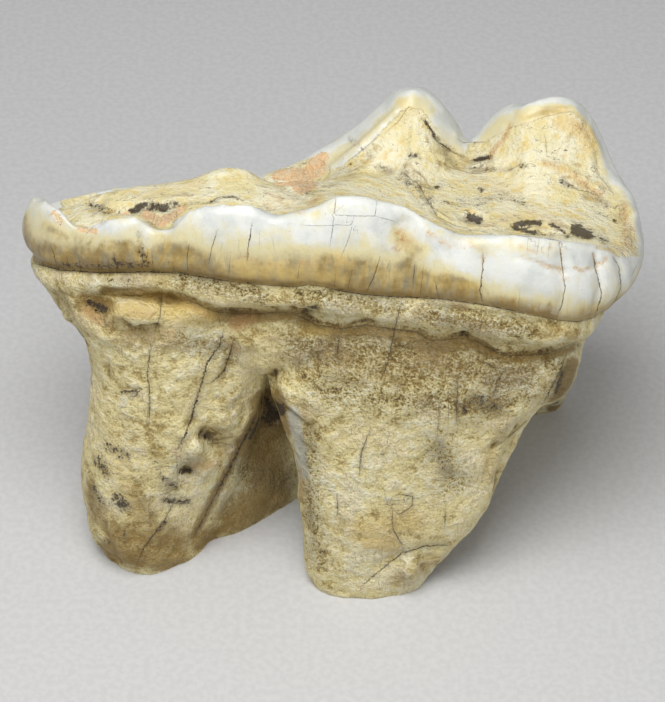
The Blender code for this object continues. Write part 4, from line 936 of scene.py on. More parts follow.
def crown_edges(angle):
    """Rim and neck round the crown: the rim lies an inset inside the outline, both with a height along X."""
    wide_x, wide_y = widest(angle)
    out_x, out_y = outward(angle)
    cheek = ease(-SIDE_BLEND, SIDE_BLEND, wide_y - CROWN_AXIS[1])
    inset = (1 - cheek) * flow(TONGUE_INSET, wide_x) + cheek * flow(CHEEK_INSET, wide_x)
    rim_x, rim_y = wide_x - inset * out_x, wide_y - inset * out_y
    rim_z = (1 - cheek) * flow(TONGUE_RIM, rim_x) + cheek * flow(CHEEK_RIM, rim_x)
    neck = flow(NECK, wide_x) - CHEEK_NECK_DROP * cheek
    return SimpleNamespace(
        wide_x=wide_x, wide_y=wide_y, out_x=out_x, out_y=out_y, inset=inset,
        rim_x=rim_x, rim_y=rim_y, rim_z=rim_z, cheek=cheek, neck=neck)


def chewing_height(x, y, rims):
    """The chewing face: its floor, raised towards the crests of the two long sides.

    How near a crest is runs from 1 on it to 0 a run away from it. The lift is the mean of that
    nearness's soft step and a power of it, and where both crests lift, the two share the rise."""
    floor = floor_height(x, y)
    lifts, raised = 0.0, 0.0
    for (rim_x, rim_y, rim_z, facing), run in rims:
        gap = abs(y - np.interp(x, rim_x, rim_y)) * np.interp(x, rim_x, facing)
        near = 1 - np.clip(gap / flow(run, x), 0, 1)
        lift = (ease(0, 1, near) + near**CREST_POWER) / 2
        lifts = lifts + lift
        raised = raised + lift * (np.interp(x, rim_x, rim_z) - floor)
    return floor + raised / np.maximum(lifts, 1)


def wall_depth(edge, side_in, hind_in, front_in):
    """How far inside the outline a ring lies: one inset at the sides and one at each end, blended between."""
    front = ease(-END_BLEND, END_BLEND, edge.wide_x)
    return side_in + ((1 - front) * hind_in + front * front_in - side_in) * edge.out_x**2


def inside(edge, depth):
    """The outline moved straight in by a depth."""
    return edge.wide_x - depth * edge.out_x, edge.wide_y - depth * edge.out_y


def out_from_axis(share, x, y):
    """A share of the way from the crown's axis out to each place."""
    return CROWN_AXIS[0] + share * (x - CROWN_AXIS[0]), CROWN_AXIS[1] + share * (y - CROWN_AXIS[1])


def crown_rings():
    """Rings from the middle of the chewing face over the rim to the roof of the forks.

    Two parameters: the angle round the axis and the ring. Inside the rim a point is a share of the way
    out to it and its height climbs from the floor to the crest. Outside it, a point is an inset from the
    widest outline and a share of the way down, then a number of millimetres below the neck."""
    angle = np.linspace(-math.pi, math.pi, CROWN_COLUMNS, endpoint=False)
    edge = crown_edges(angle)
    rims = []
    for side, run in ((edge.cheek < 0.5, TONGUE_RUN), (edge.cheek >= 0.5, CHEEK_RUN)):
        order = np.argsort(edge.rim_x[side])
        lines = (edge.rim_x, edge.rim_y, edge.rim_z, abs(edge.out_y))
        rims.append(([line[side][order] for line in lines], run))

    rings = []
    for share in 1 - np.linspace(1, 0, CHEWING_ROWS) ** CHEWING_CROWDING:
        x, y = out_from_axis(share, edge.rim_x, edge.rim_y)
        rings.append((x, y, chewing_height(x, y, rims)))
    for *insets, down in WALL:
        depth = wall_depth(edge, *insets)
        if down < SHOULDER:
            depth = depth * edge.inset / TYPICAL_INSET
        rings.append((*inside(edge, depth), edge.rim_z - down * (edge.rim_z - edge.neck)))
    for *insets, drop in BELOW:
        rings.append((*inside(edge, wall_depth(edge, *insets)), edge.neck - drop))
    last_x, last_y, _ = rings[-1]
    for share in ROOF_SHARES:
        x, y = out_from_axis(share, last_x, last_y)
        rings.append((x, y, np.full_like(x, FORK_ROOF)))
    return np.array([np.stack(ring, 1) for ring in rings])


def root_rings(sections):
    """Superellipse sections from a root's tip up into the crown, their sizes flowing from one to the next."""
    sections = np.array(sections)[::-1]
    knots = np.linspace(0, 1, len(sections))
    rows = np.linspace(0, 1, ROOT_ROWS)
    height, centre_x, centre_y, half_length, half_thick, turn = (
        flow(np.stack([knots, column], 1), rows)[:, None] for column in sections.T
    )
    angle = np.linspace(0, math.tau, ROOT_COLUMNS, endpoint=False)
    cos, sin = np.cos(angle), np.sin(angle)
    radius = (abs(cos) ** ROOT_SQUARENESS + abs(sin) ** ROOT_SQUARENESS) ** (-1 / ROOT_SQUARENESS)
    along, across = half_length * radius * cos, half_thick * radius * sin
    turn = np.radians(turn)
    x = centre_x + along * np.cos(turn) - across * np.sin(turn)
    y = centre_y + along * np.sin(turn) + across * np.cos(turn)
    return np.stack([x, y, np.broadcast_to(height, x.shape)], 2)


# ---- meshes ----
def loft(name, rings):
    """Closed mesh through rings of equal point counts, each end closed by a fan."""
    rows, columns, _ = rings.shape
    points = np.concatenate([rings.reshape(-1, 3), rings[0].mean(0)[None], rings[-1].mean(0)[None]]) * MM
    first, last = rows * columns, rows * columns + 1
    row = np.arange(rows - 1)[:, None] * columns
    this = np.arange(columns)[None, :]
    after = (this + 1) % columns
    quads = np.stack([row + this, row + after, row + columns + after, row + columns + this], 2)
    this, after = this[0], after[0]
    top = (rows - 1) * columns
    fans = np.concatenate([
        np.stack([np.full(columns, first), after, this], 1),
        np.stack([np.full(columns, last), top + this, top + after], 1),
    ])
    mesh = bpy.data.meshes.new(name)
    mesh.from_pydata(points.tolist(), [], quads.reshape(-1, 4).tolist() + fans.tolist())
    cleaned = bmesh.new()
    cleaned.from_mesh(mesh)
    bmesh.ops.remove_doubles(cleaned, verts=cleaned.verts, dist=WELD)
    bmesh.ops.recalc_face_normals(cleaned, faces=cleaned.faces)
    cleaned.to_mesh(mesh)
    cleaned.free()
    return mesh


def join(meshes, name):
    """One object holding every mesh."""
    whole = bmesh.new()
    for mesh in meshes:
        whole.from_mesh(mesh)
        bpy.data.meshes.remove(mesh)
    mesh = bpy.data.meshes.new(name)
    whole.to_mesh(mesh)
    whole.free()
    thing = bpy.data.objects.new(name, mesh)
    bpy.context.scene.collection.objects.link(thing)
    return thing


def settle(thing):
    """Replaces the object's mesh by what its modifiers make of it."""
    bpy.context.view_layer.update()
    seen = thing.evaluated_get(bpy.context.evaluated_depsgraph_get())
    old = thing.data
    mesh = bpy.data.meshes.new_from_object(seen)
    thing.modifiers.clear()
    thing.data = mesh
    bpy.data.meshes.remove(old)


def fuse(thing, cell, rounds):
    """Crown and roots become one skin of even cells, with soft joints between them."""
    cells = thing.modifiers.new("fuse", "REMESH")
    cells.mode = "VOXEL"
    cells.voxel_size = cell
    soften = thing.modifiers.new("soften", "SMOOTH")
    soften.factor = 0.5
    soften.iterations = rounds
    settle(thing)


def read_points(mesh):
    """Every vertex's place, in millimetres."""
    points = np.empty(len(mesh.vertices) * 3)
    mesh.vertices.foreach_get("co", points)
    return points.reshape(-1, 3) / MM


def read_normals(mesh):
    """Every vertex's direction out of the surface."""
    normals = np.empty(len(mesh.vertices) * 3)
    mesh.vertex_normals.foreach_get("vector", normals)
    return normals.reshape(-1, 3)


def raise_surface(mesh, lift):
    """Moves each vertex along the surface's own direction by its lift, then opens what folded over.

    Where the direction has turned too far, the surface is blended towards itself smoothed many times."""
    normals, ends = read_normals(mesh), edge_ends(mesh)
    moved = read_points(mesh) + lift[:, None] * normals
    write_points(mesh, moved)
    turned = (read_normals(mesh) * normals).sum(1) < FOLD_FACING
    share = ease(*FOLD_SHARE, smoothed(turned.astype(float)[:, None], ends, FOLD_ROUNDS))
    write_points(mesh, moved + share * (smoothed(moved, ends, OPENING_ROUNDS) - moved))


def write_points(mesh, points):
    """Puts every vertex at its place, given in millimetres."""
    mesh.vertices.foreach_set("co", (points * MM).ravel())
    mesh.update()


def store(mesh, name, values):
    """Keeps one number or three per vertex under a name that the material reads."""
    kind = "FLOAT" if values.ndim == 1 else "FLOAT_VECTOR"
    layer = mesh.attributes.new(name, kind, "POINT")
    layer.data.foreach_set("value" if values.ndim == 1 else "vector", values.astype(np.float32).ravel())


def to_drawing(points, lean):
    """The part's millimetres turned upright again, into the frame that the tooth is drawn in."""
    x = points[:, 0] + PART_MIDDLE[0]
    y = points[:, 1] + PART_MIDDLE[1]
    z = points[:, 2] - NECK_TO_GROUND
    cos, sin = math.cos(lean), math.sin(lean)
    return np.stack([x, y * cos - z * sin, y * sin + z * cos], 1)


# ---- what the camera sees ----
def view_back():
    """Direction from what the camera aims at towards the camera."""
    tilt = math.radians(VIEW_TILT)
    return np.array([0, -math.cos(tilt), math.sin(tilt)])


def frame_place(points):
    """Pixels from the frame's top left corner and depth: right is X, up leans back by the view's tilt."""
    tilt = math.radians(VIEW_TILT)
    back = view_back()
    up = np.array([0, math.sin(tilt), math.cos(tilt)])
    away = points - (np.array(VIEW_AIM) + back * VIEW_DISTANCE)
    depth = -away @ back
    across = FRAME_SIZE[0] / 2 + FOCAL_PIXELS * away[:, 0] / depth
    down = FRAME_SIZE[1] / 2 - FOCAL_PIXELS * (away @ up) / depth
    return np.stack([across, down], 1), depth


def seen_share(points, normals):
    """1 where the camera sees the surface: a vertex faces it and lies at the nearest depth of its cell."""
    place, depth = frame_place(points)
    cell = np.floor(place / SIGHT_CELL).astype(int)
    cell -= cell.min(0)
    nearest = np.full(cell.max(0) + 1, np.inf)
    np.minimum.at(nearest, (cell[:, 0], cell[:, 1]), depth)
    to_eye = np.array(VIEW_AIM) + view_back() * VIEW_DISTANCE - points
    facing = (normals * to_eye).sum(1) / np.linalg.norm(to_eye, axis=1)
    behind = depth - nearest[cell[:, 0], cell[:, 1]]
    allowed = SIGHT_DEPTH + SIGHT_DEPTH_ASLANT / np.clip(facing, FLATTEST_FACING, 1)
    return ease(*SIGHT_FACING, facing) * (1 - ease(allowed, allowed + SIGHT_FADE, behind))


def beside(place, line):
    """Where each place lies by an open line of stretches, from the nearest of them.

    The distance to it, its side, how far past the line's end the place is, and how far in from the nearer
    end the nearest point is. A place's share along a stretch is the dot product of the two over the
    stretch's own, kept from 0 to 1, and the sign of their cross product is the side."""
    line = np.asarray(line, float)
    near = np.full(len(place), np.inf)
    side = np.ones(len(place))
    past = np.zeros(len(place))
    inset = np.zeros(len(place))
    lengths = np.linalg.norm(np.diff(line, axis=0), axis=1)
    before = np.concatenate([[0], np.cumsum(lengths)])
    for i in range(len(line) - 1):
        way = line[i + 1] - line[i]
        off = place - line[i]
        share = off @ way / (way @ way)
        kept = np.clip(share, 0, 1)
        gap = np.linalg.norm(off - kept[:, None] * way, axis=1)
        closer = gap < near
        near = np.where(closer, gap, near)
        side = np.where(closer, np.sign(way[0] * off[:, 1] - way[1] * off[:, 0]), side)
        over = np.abs(share - kept) * lengths[i]
        is_end = ((share < 0) & (i == 0)) | ((share > 1) & (i == len(line) - 2))
        past = np.where(closer, over * is_end, past)
        along = before[i] + kept * lengths[i]
        inset = np.where(closer, np.minimum(along, before[-1] - along), inset)
    return near, np.where(side == 0, 1, side), past, inset


def within(place, corners):
    """Distance to a closed outline, above 0 where a ray to the right crosses it an odd number of times."""
    corners = np.asarray(corners, float)
    near = beside(place, np.concatenate([corners, corners[:1]]))[0]
    odd = np.zeros(len(place), bool)
    for (x0, y0), (x1, y1) in zip(corners, np.roll(corners, -1, axis=0)):
        if y0 != y1:
            cross = x0 + (place[:, 1] - y0) * (x1 - x0) / (y1 - y0)
            odd ^= ((place[:, 1] < y0) != (place[:, 1] < y1)) & (place[:, 0] < cross)
    return np.where(odd, near, -near)


def mark(place, radius, line):
    """1 on a line and less beside it: the bell of distance over radius."""
    return bell(beside(place, line)[0] / radius)


def spread(place, marks):
    """The strongest of a kind of mark at each place: strength times the bell of distance over radius."""
    total = np.zeros(len(place))
    for strength, radius, *line in marks:
        total = np.maximum(total, strength * mark(place, radius, line))
    return total


def crack_layers(place, seen):
    """Two layers of signed distances to the seen cracks, each with how strongly its line shows.

    Cracks that come close go to different layers, because within one the sides would be mixed up."""
    room = 2 * REACH * PIXELS_PER_MM
    layers = [[], []]
    for crack in [crack for name, group in SEEN_CRACKS.items() if name != "neck" for crack in group]:
        spans = [min((span(crack, other) for other in layer), default=math.inf) for layer in layers]
        layers[0 if spans[0] > room or spans[0] >= spans[1] else 1].append(crack)
    gaps, shows = zip(*(signed_gaps(place, layer) for layer in layers))
    return list(gaps), [show * seen for show in shows]


def span(crack, other):
    """Pixels between the nearest corners of two cracks: each is a width, a darkness and its corners."""
    corners, others = (np.array(line[2:], float) for line in (crack, other))
    return np.linalg.norm(corners[:, None] - others[None], axis=2).min()


def signed_gaps(place, cracks):
    """Signed distance to the nearest of some cracks, over its width, and how strongly it shows there.

    A line keeps its darkness along its run, thins towards both ends and stops just past them."""
    best, gap, show = no_crack(len(place))
    for width, dark, *line in cracks:
        near, side, past, inset = beside(place, line)
        near, past, inset = near / PIXELS_PER_MM, past / PIXELS_PER_MM, inset / PIXELS_PER_MM
        closer = near < best
        best = np.where(closer, near, best)
        gap = np.where(closer, side * near / width, gap)
        taper = CRACK_THINNEST + (1 - CRACK_THINNEST) * ease(0.0, CRACK_TAPER, inset)
        show = np.where(closer, dark * ((1 - ease(*CRACK_ENDS, past)) * taper) * within_reach(near), show)
    return gap, show


def no_crack(count):
    """Where no crack is near: the nearest distance so far, the signed distance and how strongly it shows."""
    return np.full(count, 99.0), np.full(count, 9.0), np.zeros(count)


def within_reach(distance):
    """1 near a crack, easing to 0 at the reach of its line."""
    return 1 - ease(REACH * 0.7, REACH, distance)


# ---- the fields that the material reads ----
def smoothed(points, ends, rounds):
    """Every vertex moved halfway to the mean of its neighbours, again and again."""
    count = len(points)
    first, second = ends.T
    shared = np.bincount(ends.ravel(), minlength=count).clip(1)
    for _ in range(rounds):
        total = np.stack([
            np.bincount(first, column[second], count) + np.bincount(second, column[first], count)
            for column in points.T
        ], 1)
        points = 0.5 * points + 0.5 * total / shared[:, None]
    return points


def edge_ends(mesh):
    """The two vertices of every edge."""
    ends = np.empty(len(mesh.edges) * 2, np.int32)
    mesh.edges.foreach_get("vertices", ends)
    return ends.reshape(-1, 2)


def hollows(mesh, rounds):
    """Millimetres by which a vertex lies below the smoothed surface: above 0 in grooves, below 0 on edges."""
    points = read_points(mesh)
    return ((smoothed(points, edge_ends(mesh), rounds) - points) * read_normals(mesh)).sum(1)


def crown_fields(drawn):
    """Enamel's depth inside its edges as the crown is drawn, height above the neck, and turn and radius.

    Enamel lies above the neck and outside the rim, so its depth is the lesser of the two distances."""
    angle = np.linspace(-math.pi, math.pi, CROWN_COLUMNS, endpoint=False)
    edge = crown_edges(angle)
    rim_turn, rim_radius = round_axis(edge.rim_x, edge.rim_y)
    turn, radius = round_axis(drawn[:, 0], drawn[:, 1])
    above = drawn[:, 2] - np.interp(turn, angle, edge.neck, period=math.tau)
    outside = radius - np.interp(turn, rim_turn, rim_radius, period=math.tau) + ENAMEL_LIP
    return np.minimum(above, outside), above, turn, radius


def round_axis(x, y):
    """Turn round the crown's axis and distance from it."""
    return np.arctan2(y - CROWN_AXIS[1], x - CROWN_AXIS[0]), np.hypot(x - CROWN_AXIS[0], y - CROWN_AXIS[1])


def enamel_outlines(place):
    """Pixels inside the enamel's three outlines in the frame: the wall and the two worn cusps."""
    outlines = (NECK_LINE + ENAMEL_CREST[1:], HIND_CUSP_ENAMEL, FRONT_CUSP_ENAMEL)
    return np.max([within(place, outline) for outline in outlines], axis=0)


def enamel_white(place, seen, drawn, above, bevel):
    """How white the enamel is: by the yellow line and tones in the frame, by height on the unseen side."""
    line_at = np.interp(place[:, 0], *np.array(YELLOW_LINE, float).T)
    heel_end = 1 - ease(*HEEL_END_AT, place[:, 0])
    white_seen = ease(*YELLOW_FADE, line_at - place[:, 1]) * (WHITEST - HEEL_END_DULLER * heel_end)
    white_seen = np.maximum(white_seen, FRONT_END_LEAST * ease(*FRONT_END_AT, place[:, 0]))
    white_seen = np.where(bevel > BEVEL_EDGE, BEVEL_WHITE, white_seen)
    for change, radius, *line in ENAMEL_TONES:
        white_seen = white_seen + change * mark(place, radius, line)
    white_all = ease(*WHITE_ABOVE_NECK, above + 0.5 * layered_noise(drawn, *NECK_CLOUDS))
    return seen * np.clip(white_seen, 0, 1) + (1 - seen) * white_all


def hidden_cracks(drawn, turn, radius, chance):
    """Signed distance to upright cracks round the crown's axis, one in each equal turn, and how each shows.

    A crack's turn sways with height by a sine and leans by a slope, and it shows between two heights."""
    best, gap, show = no_crack(len(drawn))
    height = drawn[:, 2]
    for i in range(UNSEEN_CRACKS):
        middle = -math.pi + math.tau * (i + chance.uniform(*UNSEEN_CRACK_PLACE)) / UNSEEN_CRACKS
        low, high = sorted(chance.uniform(*UNSEEN_CRACK_HEIGHTS, 2))
        pace, start, tilt = chance.uniform(*UNSEEN_PACE), chance.uniform(*UNSEEN_START), chance.uniform(-1, 1)
        wander = UNSEEN_SWAY * np.sin(height * pace + start) + UNSEEN_LEAN * tilt * height
        away = ((turn - middle + wander + math.pi) % math.tau - math.pi) * radius
        closer = abs(away) < best
        best = np.where(closer, abs(away), best)
        gap = np.where(closer, away, gap)
        level = ease(low - 0.5, low + 1.5, height) * (1 - ease(high - 1.5, high + 0.5, height))
        show = np.where(closer, level * within_reach(abs(away)), show)
    return gap, show


def paint_cracks(mesh, place, normals, drawn, crown, seen, hidden, chance):
    """Stores the cracks: the seen ones in two layers, the unseen ones in the first, then the neck's line."""
    _, above, turn, radius = crown
    gaps, shows = crack_layers(place, seen)
    neck_gap, neck_show = signed_gaps(place, SEEN_CRACKS["neck"])
    hidden_gap, hidden_show = hidden_cracks(drawn, turn, radius, chance)
    side_wall = ease(*STEEP_WALL, np.hypot(normals[:, 0], normals[:, 1]))
    shown, unseen = ease(*SHOWN_FROM, 1 - hidden), ease(*UNSEEN_FROM, hidden)
    gaps[0] = np.where(hidden > 0.5, hidden_gap, gaps[0])
    shows = [show * shown for show in shows]
    shows[0] += hidden_show * side_wall * unseen
    neck_gap = np.where(hidden > 0.5, above, neck_gap)
    neck_show = np.where(hidden > 0.5, UNSEEN_NECK_LINE * (abs(above) < REACH) * unseen, neck_show * shown)
    store(mesh, "crack_gaps", np.stack([*gaps, neck_gap], 1))
    store(mesh, "crack_shows", np.stack([*shows, neck_show], 1))


def paint_stains(mesh, place, points, seen, hidden, chance):
    """Stores every stain and tone: the seen marks, bells at random unseen places, and painted shade in the
    cave.
    """
    fields = {name: spread(place, marks) * seen for name, marks in SEEN_STAINS.items()}
    candidates = np.nonzero((hidden > 0.8) & (points[:, 2] > 0.5))[0]
    for name, (count, radius) in UNSEEN_STAINS.items():
        for index in chance.choice(candidates, count):
            size = radius * chance.uniform(*UNSEEN_STAIN_SIZE)
            strength = chance.uniform(*UNSEEN_STAIN_STRENGTH)
            near = np.linalg.norm(points - points[index], axis=1)
            fields[name] = np.maximum(fields[name], hidden * strength * bell(near / size))
    # Painted shade in the cave behind the fork, strongest at its mouth.
    cave = ((points - np.array(CAVE_MOUTH)) ** 2).sum(1)
    for name, (strength, radius) in CAVE_SHADE.items():
        fields[name] = np.maximum(fields[name], strength * np.exp(-cave / radius**2))
    store(mesh, "stains", np.stack([fields["ochre"], fields["manganese"], fields["clay"]], 1))
    store(mesh, "tones", np.stack([fields["blue grey"], fields["brown"], fields["yellow"]], 1))
    fine, wide = hollows(mesh, FINE_HOLLOWS), hollows(mesh, WIDE_HOLLOWS)
    store(mesh, "hollows", np.stack([fine, wide, fields["grain"]], 1))


def paint_fields(thing, lean):
    """Works out every field on the finished mesh and stores it there."""
    mesh = thing.data
    points, normals = read_points(mesh), read_normals(mesh)
    drawn = to_drawing(points, lean)
    place, _ = frame_place(points)
    seen = smoothed(seen_share(points, normals)[:, None], edge_ends(mesh), SIGHT_ROUNDS)[:, 0]
    crown = crown_fields(drawn)
    enamel_all, above, _, _ = crown

    enamel = seen * (enamel_outlines(place) / PIXELS_PER_MM) + (1 - seen) * enamel_all
    bevel = np.maximum(within(place, HIND_CUSP_ENAMEL), within(place, FRONT_CUSP_ENAMEL)) / PIXELS_PER_MM
    white = enamel_white(place, seen, drawn, above, bevel)
    store(mesh, "kinds", np.stack([enamel, above - CROWN_FROM, white], 1))

    hidden = 1 - ease(*HIDDEN_UNDER, seen)
    chance = np.random.default_rng(UNSEEN_SEED)
    paint_cracks(mesh, place, normals, drawn, crown, seen, hidden, chance)
    paint_stains(mesh, place, points, seen, hidden, chance)


# ---- shape ----
def relief_lift(points):
    """Sum of every lump and hollow: height times the bell of distance to its capsule over its radius."""
    lift = np.zeros(len(points))
    for features in RELIEF.values():
        for start, stop, radius, height in features:
            start, along = np.array(start), np.array(stop) - np.array(start)
            share = np.clip((points - start) @ along / (along @ along), 0, 1)
            distance = np.linalg.norm(points - start - share[:, None] * along, axis=1)
            lift += height * bell(distance / radius)
    return lift


def seen_lift(points, normals):
    """Sum of the seen side's lumps and grooves: height times the bell of pixels from each over its radius."""
    place, _ = frame_place(points)
    lift = np.zeros(len(points))
    for features in SEEN_RELIEF.values():
        for height, radius, *line in features:
            lift += height * mark(place, radius, line)
    return lift * seen_share(points, normals)


def grain_lift(points, normals, shape):
    """Noise in three sizes: slow below the neck, fine where the grain is strong, faint in the enamel."""
    drawn = to_drawing(points, shape.lean)
    _, above, _, _ = crown_fields(drawn)
    place, _ = frame_place(points)
    seen = seen_share(points, normals)
    grain = GRAIN_EVERYWHERE + (1 - GRAIN_EVERYWHERE) * spread(place, SEEN_STAINS["grain"]) * seen
    enamel = seen * ease(*ENAMEL_EDGE_SEEN, enamel_outlines(place)) + (1 - seen) * ease(*ENAMEL_EDGE, above)
    root = 1 - ease(*NECK_EDGE, above)
    slow = layered_noise(drawn, *SLOW_LUMPS) * shape.unevenness / MM
    fine = layered_noise(drawn, *FINE_GRAIN) * shape.grain / MM
    ripple = layered_noise(drawn * np.array(RIPPLE_STRETCH), *ENAMEL_RIPPLE) * shape.ripple / MM
    fine = (1 - enamel) * grain * fine * (GRAIN_ON_CROWN + (1 - GRAIN_ON_CROWN) * root)
    return root * slow + fine + enamel * ripple


def cut_tips(thing):
    """Takes off what reaches below the ground, which leaves a flat facet on each root tip."""
    block = bmesh.new()
    bmesh.ops.create_cube(block, size=1)
    bmesh.ops.scale(block, vec=GROUND_SLAB, verts=block.verts)
    bmesh.ops.translate(block, vec=(0, 0, -GROUND_SLAB[2] / 2), verts=block.verts)
    mesh = bpy.data.meshes.new("ground slab")
    block.to_mesh(mesh)
    block.free()
    slab = bpy.data.objects.new("ground slab", mesh)
    bpy.context.scene.collection.objects.link(slab)
    cut = thing.modifiers.new("flat tips", "BOOLEAN")
    cut.operation = "DIFFERENCE"
    cut.solver = "EXACT"
    cut.object = slab
    settle(thing)
    bpy.data.objects.remove(slab)
    bpy.data.meshes.remove(mesh)


def shape_tooth(shape):
    """The tooth's mesh in the part's own place."""
    meshes = [loft("crown", crown_rings())]
    meshes += [loft(name, root_rings(sections)) for name, sections in ROOTS.items()]
    thing = join(meshes, PIECE)
    fuse(thing, shape.cell, shape.softening)
    raise_surface(thing.data, relief_lift(read_points(thing.data)))
    move = Vector((-PART_MIDDLE[0], -PART_MIDDLE[1], NECK_TO_GROUND)) * MM
    thing.data.transform(Matrix.Rotation(-shape.lean, 4, "X"))
    thing.data.transform(Matrix.Translation(move))
    thing.data.update()
    points, normals = read_points(thing.data), read_normals(thing.data)
    raise_surface(thing.data, seen_lift(points, normals) + grain_lift(points, normals, shape))
    cut_tips(thing)
    thing.data.name = PIECE
    thing.data.shade_smooth()
    return thing


# ---- material ----
class Nodes:
    """Hand tools for one material's nodes: every value may be a number, a colour or another node's output."""

    def __init__(self, tree):
        self.tree = tree

    def add(self, kind, **settings):
        """A new node of a kind."""
        node = self.tree.nodes.new("ShaderNode" + kind)
        for name, value in settings.items():
            setattr(node, name, value)
        return node

    def feed(self, socket, value):
        """Links an output to a socket, or sets the socket to a number or colour."""
        if isinstance(value, bpy.types.NodeSocket):
            self.tree.links.new(value, socket)
        else:
            socket.default_value = value

    def math(self, operation, *values):
        """One step of arithmetic."""
        node = self.add("Math", operation=operation)
        for socket, value in zip(node.inputs, values):
            self.feed(socket, value)
        return node.outputs[0]

    def chain(self, operation, values):
        """The same step from each value to the next."""
        total = values[0]
        for value in values[1:]:
            total = self.math(operation, total, value)
        return total

    def sum(self, *parts):
        """Sum of values, where a pair is a value and its weight."""
        return self.chain("ADD", [self.times(*part) if isinstance(part, tuple) else part for part in parts])

    def times(self, *values):
        """Product of values."""
        return self.chain("MULTIPLY", values)

    def most(self, *values):
        """The greatest of values."""
        return self.chain("MAXIMUM", values)

    def less(self, value, other):
        """The first value less the second."""
        return self.math("SUBTRACT", value, other)

    def ease(self, low, high, value, start=0.0, stop=1.0):
        """From start at low to stop at high, by three t squared less two t cubed."""
        node = self.add("MapRange", interpolation_type="SMOOTHSTEP")
        names = ("Value", "From Min", "From Max", "To Min", "To Max")
        for name, amount in zip(names, (value, low, high, start, stop)):
            self.feed(node.inputs[name], amount)
        return node.outputs["Result"]

    def near(self, low, high, value):
        """1 where a value's size is under low, easing to 0 at high."""
        return self.ease(low, high, self.math("ABSOLUTE", value), 1.0, 0.0)

    def contour(self, level, width, value):
        """A thin line where a value passes a level."""
        return self.near(0.0, width, self.less(value, level))

    def mix(self, share, first, second):
        """A share of the way from one colour to another."""
        node = self.add("Mix", data_type="RGBA", clamp_factor=True)
        for index, value in ((0, share), (6, first), (7, second)):
            self.feed(node.inputs[index], value)
        return node.outputs[2]

    def blend(self, share, first, second):
        """A share of the way from one number to another."""
        node = self.add("Mix", data_type="FLOAT", clamp_factor=True)
        for index, value in ((0, share), (2, first), (3, second)):
            self.feed(node.inputs[index], value)
        return node.outputs[0]

    def field(self, name):
        """The three numbers stored on the mesh under a name."""
        parts = self.add("SeparateXYZ")
        self.tree.links.new(self.add("Attribute", attribute_name=name).outputs["Vector"], parts.inputs[0])
        return parts.outputs

    def place(self, stretch):
        """Place on the object in millimetres, each direction times its stretch."""
        node = self.add("Mapping", vector_type="POINT")
        self.tree.links.new(self.add("TexCoord").outputs["Object"], node.inputs["Vector"])
        node.inputs["Scale"].default_value = [amount / MM for amount in stretch]
        return node.outputs["Vector"]

    def noise(self, place, size, detail=3.0, roughness=0.5, distortion=0.0):
        """Noise from 0 to 1 of a size in millimetres."""
        node = self.add("TexNoise")
        self.feed(node.inputs["Vector"], place)
        for name, amount in (("Scale", 1 / size), ("Detail", detail), ("Roughness", roughness)):
            node.inputs[name].default_value = amount
        node.inputs["Distortion"].default_value = distortion
        return node.outputs[0]


def weighed(values, weights):
    """Every value that has a weight, with it."""
    return [(getattr(values, name), weight) for name, weight in weights.items()]


def spots(n, t, bands, *more):
    """Product of how far each value lies into its band or on its line, and of anything more."""
    parts = []
    for name, first, second, *line in bands:
        parts.append((n.contour if line else n.ease)(first, second, getattr(t, name)))
    return n.times(*parts, *more)


def layered(n, t, finish, paint, layers):
    """Each layer's colour over the paint, as strongly as its spots and its share say."""
    for name, share, *bands in layers:
        paint = n.mix(spots(n, t, bands, share), paint, getattr(finish, name))
    return paint


def tooth_parts(n):
    """Every noise, each less its middle value, and every field on the mesh, under plain names."""
    here = n.place((1, 1, 1))
    noises = {name: n.noise(here, *settings) for name, settings in NOISES.items()}
    noises["streak"] = n.noise(n.place(STREAK_STRETCH), *STREAK)
    noises["swirl"] = n.noise(n.place(SWIRL_STRETCH), *SWIRL)
    off = {name: n.less(value, 0.5) for name, value in noises.items()}
    t = SimpleNamespace(**noises, off=SimpleNamespace(**off))
    for layer, names in FIELD_NAMES.items():
        for name, value in zip(names, n.field(layer)):
            setattr(t, name, value)
    t.grain = n.sum(LEAST_GRAIN, (t.grain, MORE_GRAIN))
    t.uneven = n.sum(*weighed(t, UNEVEN))
    t.is_enamel = n.ease(*ENAMEL_FADE, n.sum(t.enamel_depth, *weighed(t.off, EDGE_BREAKS)))
    t.not_enamel = n.less(1.0, t.is_enamel)
    t.is_crown = n.ease(*CROWN_FADE, t.crown_height)
    fine, wide = n.ease(*HOLLOW_SHADE_FINE, t.hollow), n.ease(*HOLLOW_SHADE_WIDE, t.wide_hollow)
    t.sunk = n.sum((fine, HOLLOW_SHADE_DARK), (wide, HOLLOW_SHADE_DARK))
    t.proud = n.ease(*PROUD, t.hollow)
    for name, (noise, weight) in STAIN_BREAKS.items():
        setattr(t, name, n.times(getattr(t.off, noise), weight))
    for name, weights in STAINS.items():
        setattr(t, name, n.sum(*weighed(t, weights)))
    return t


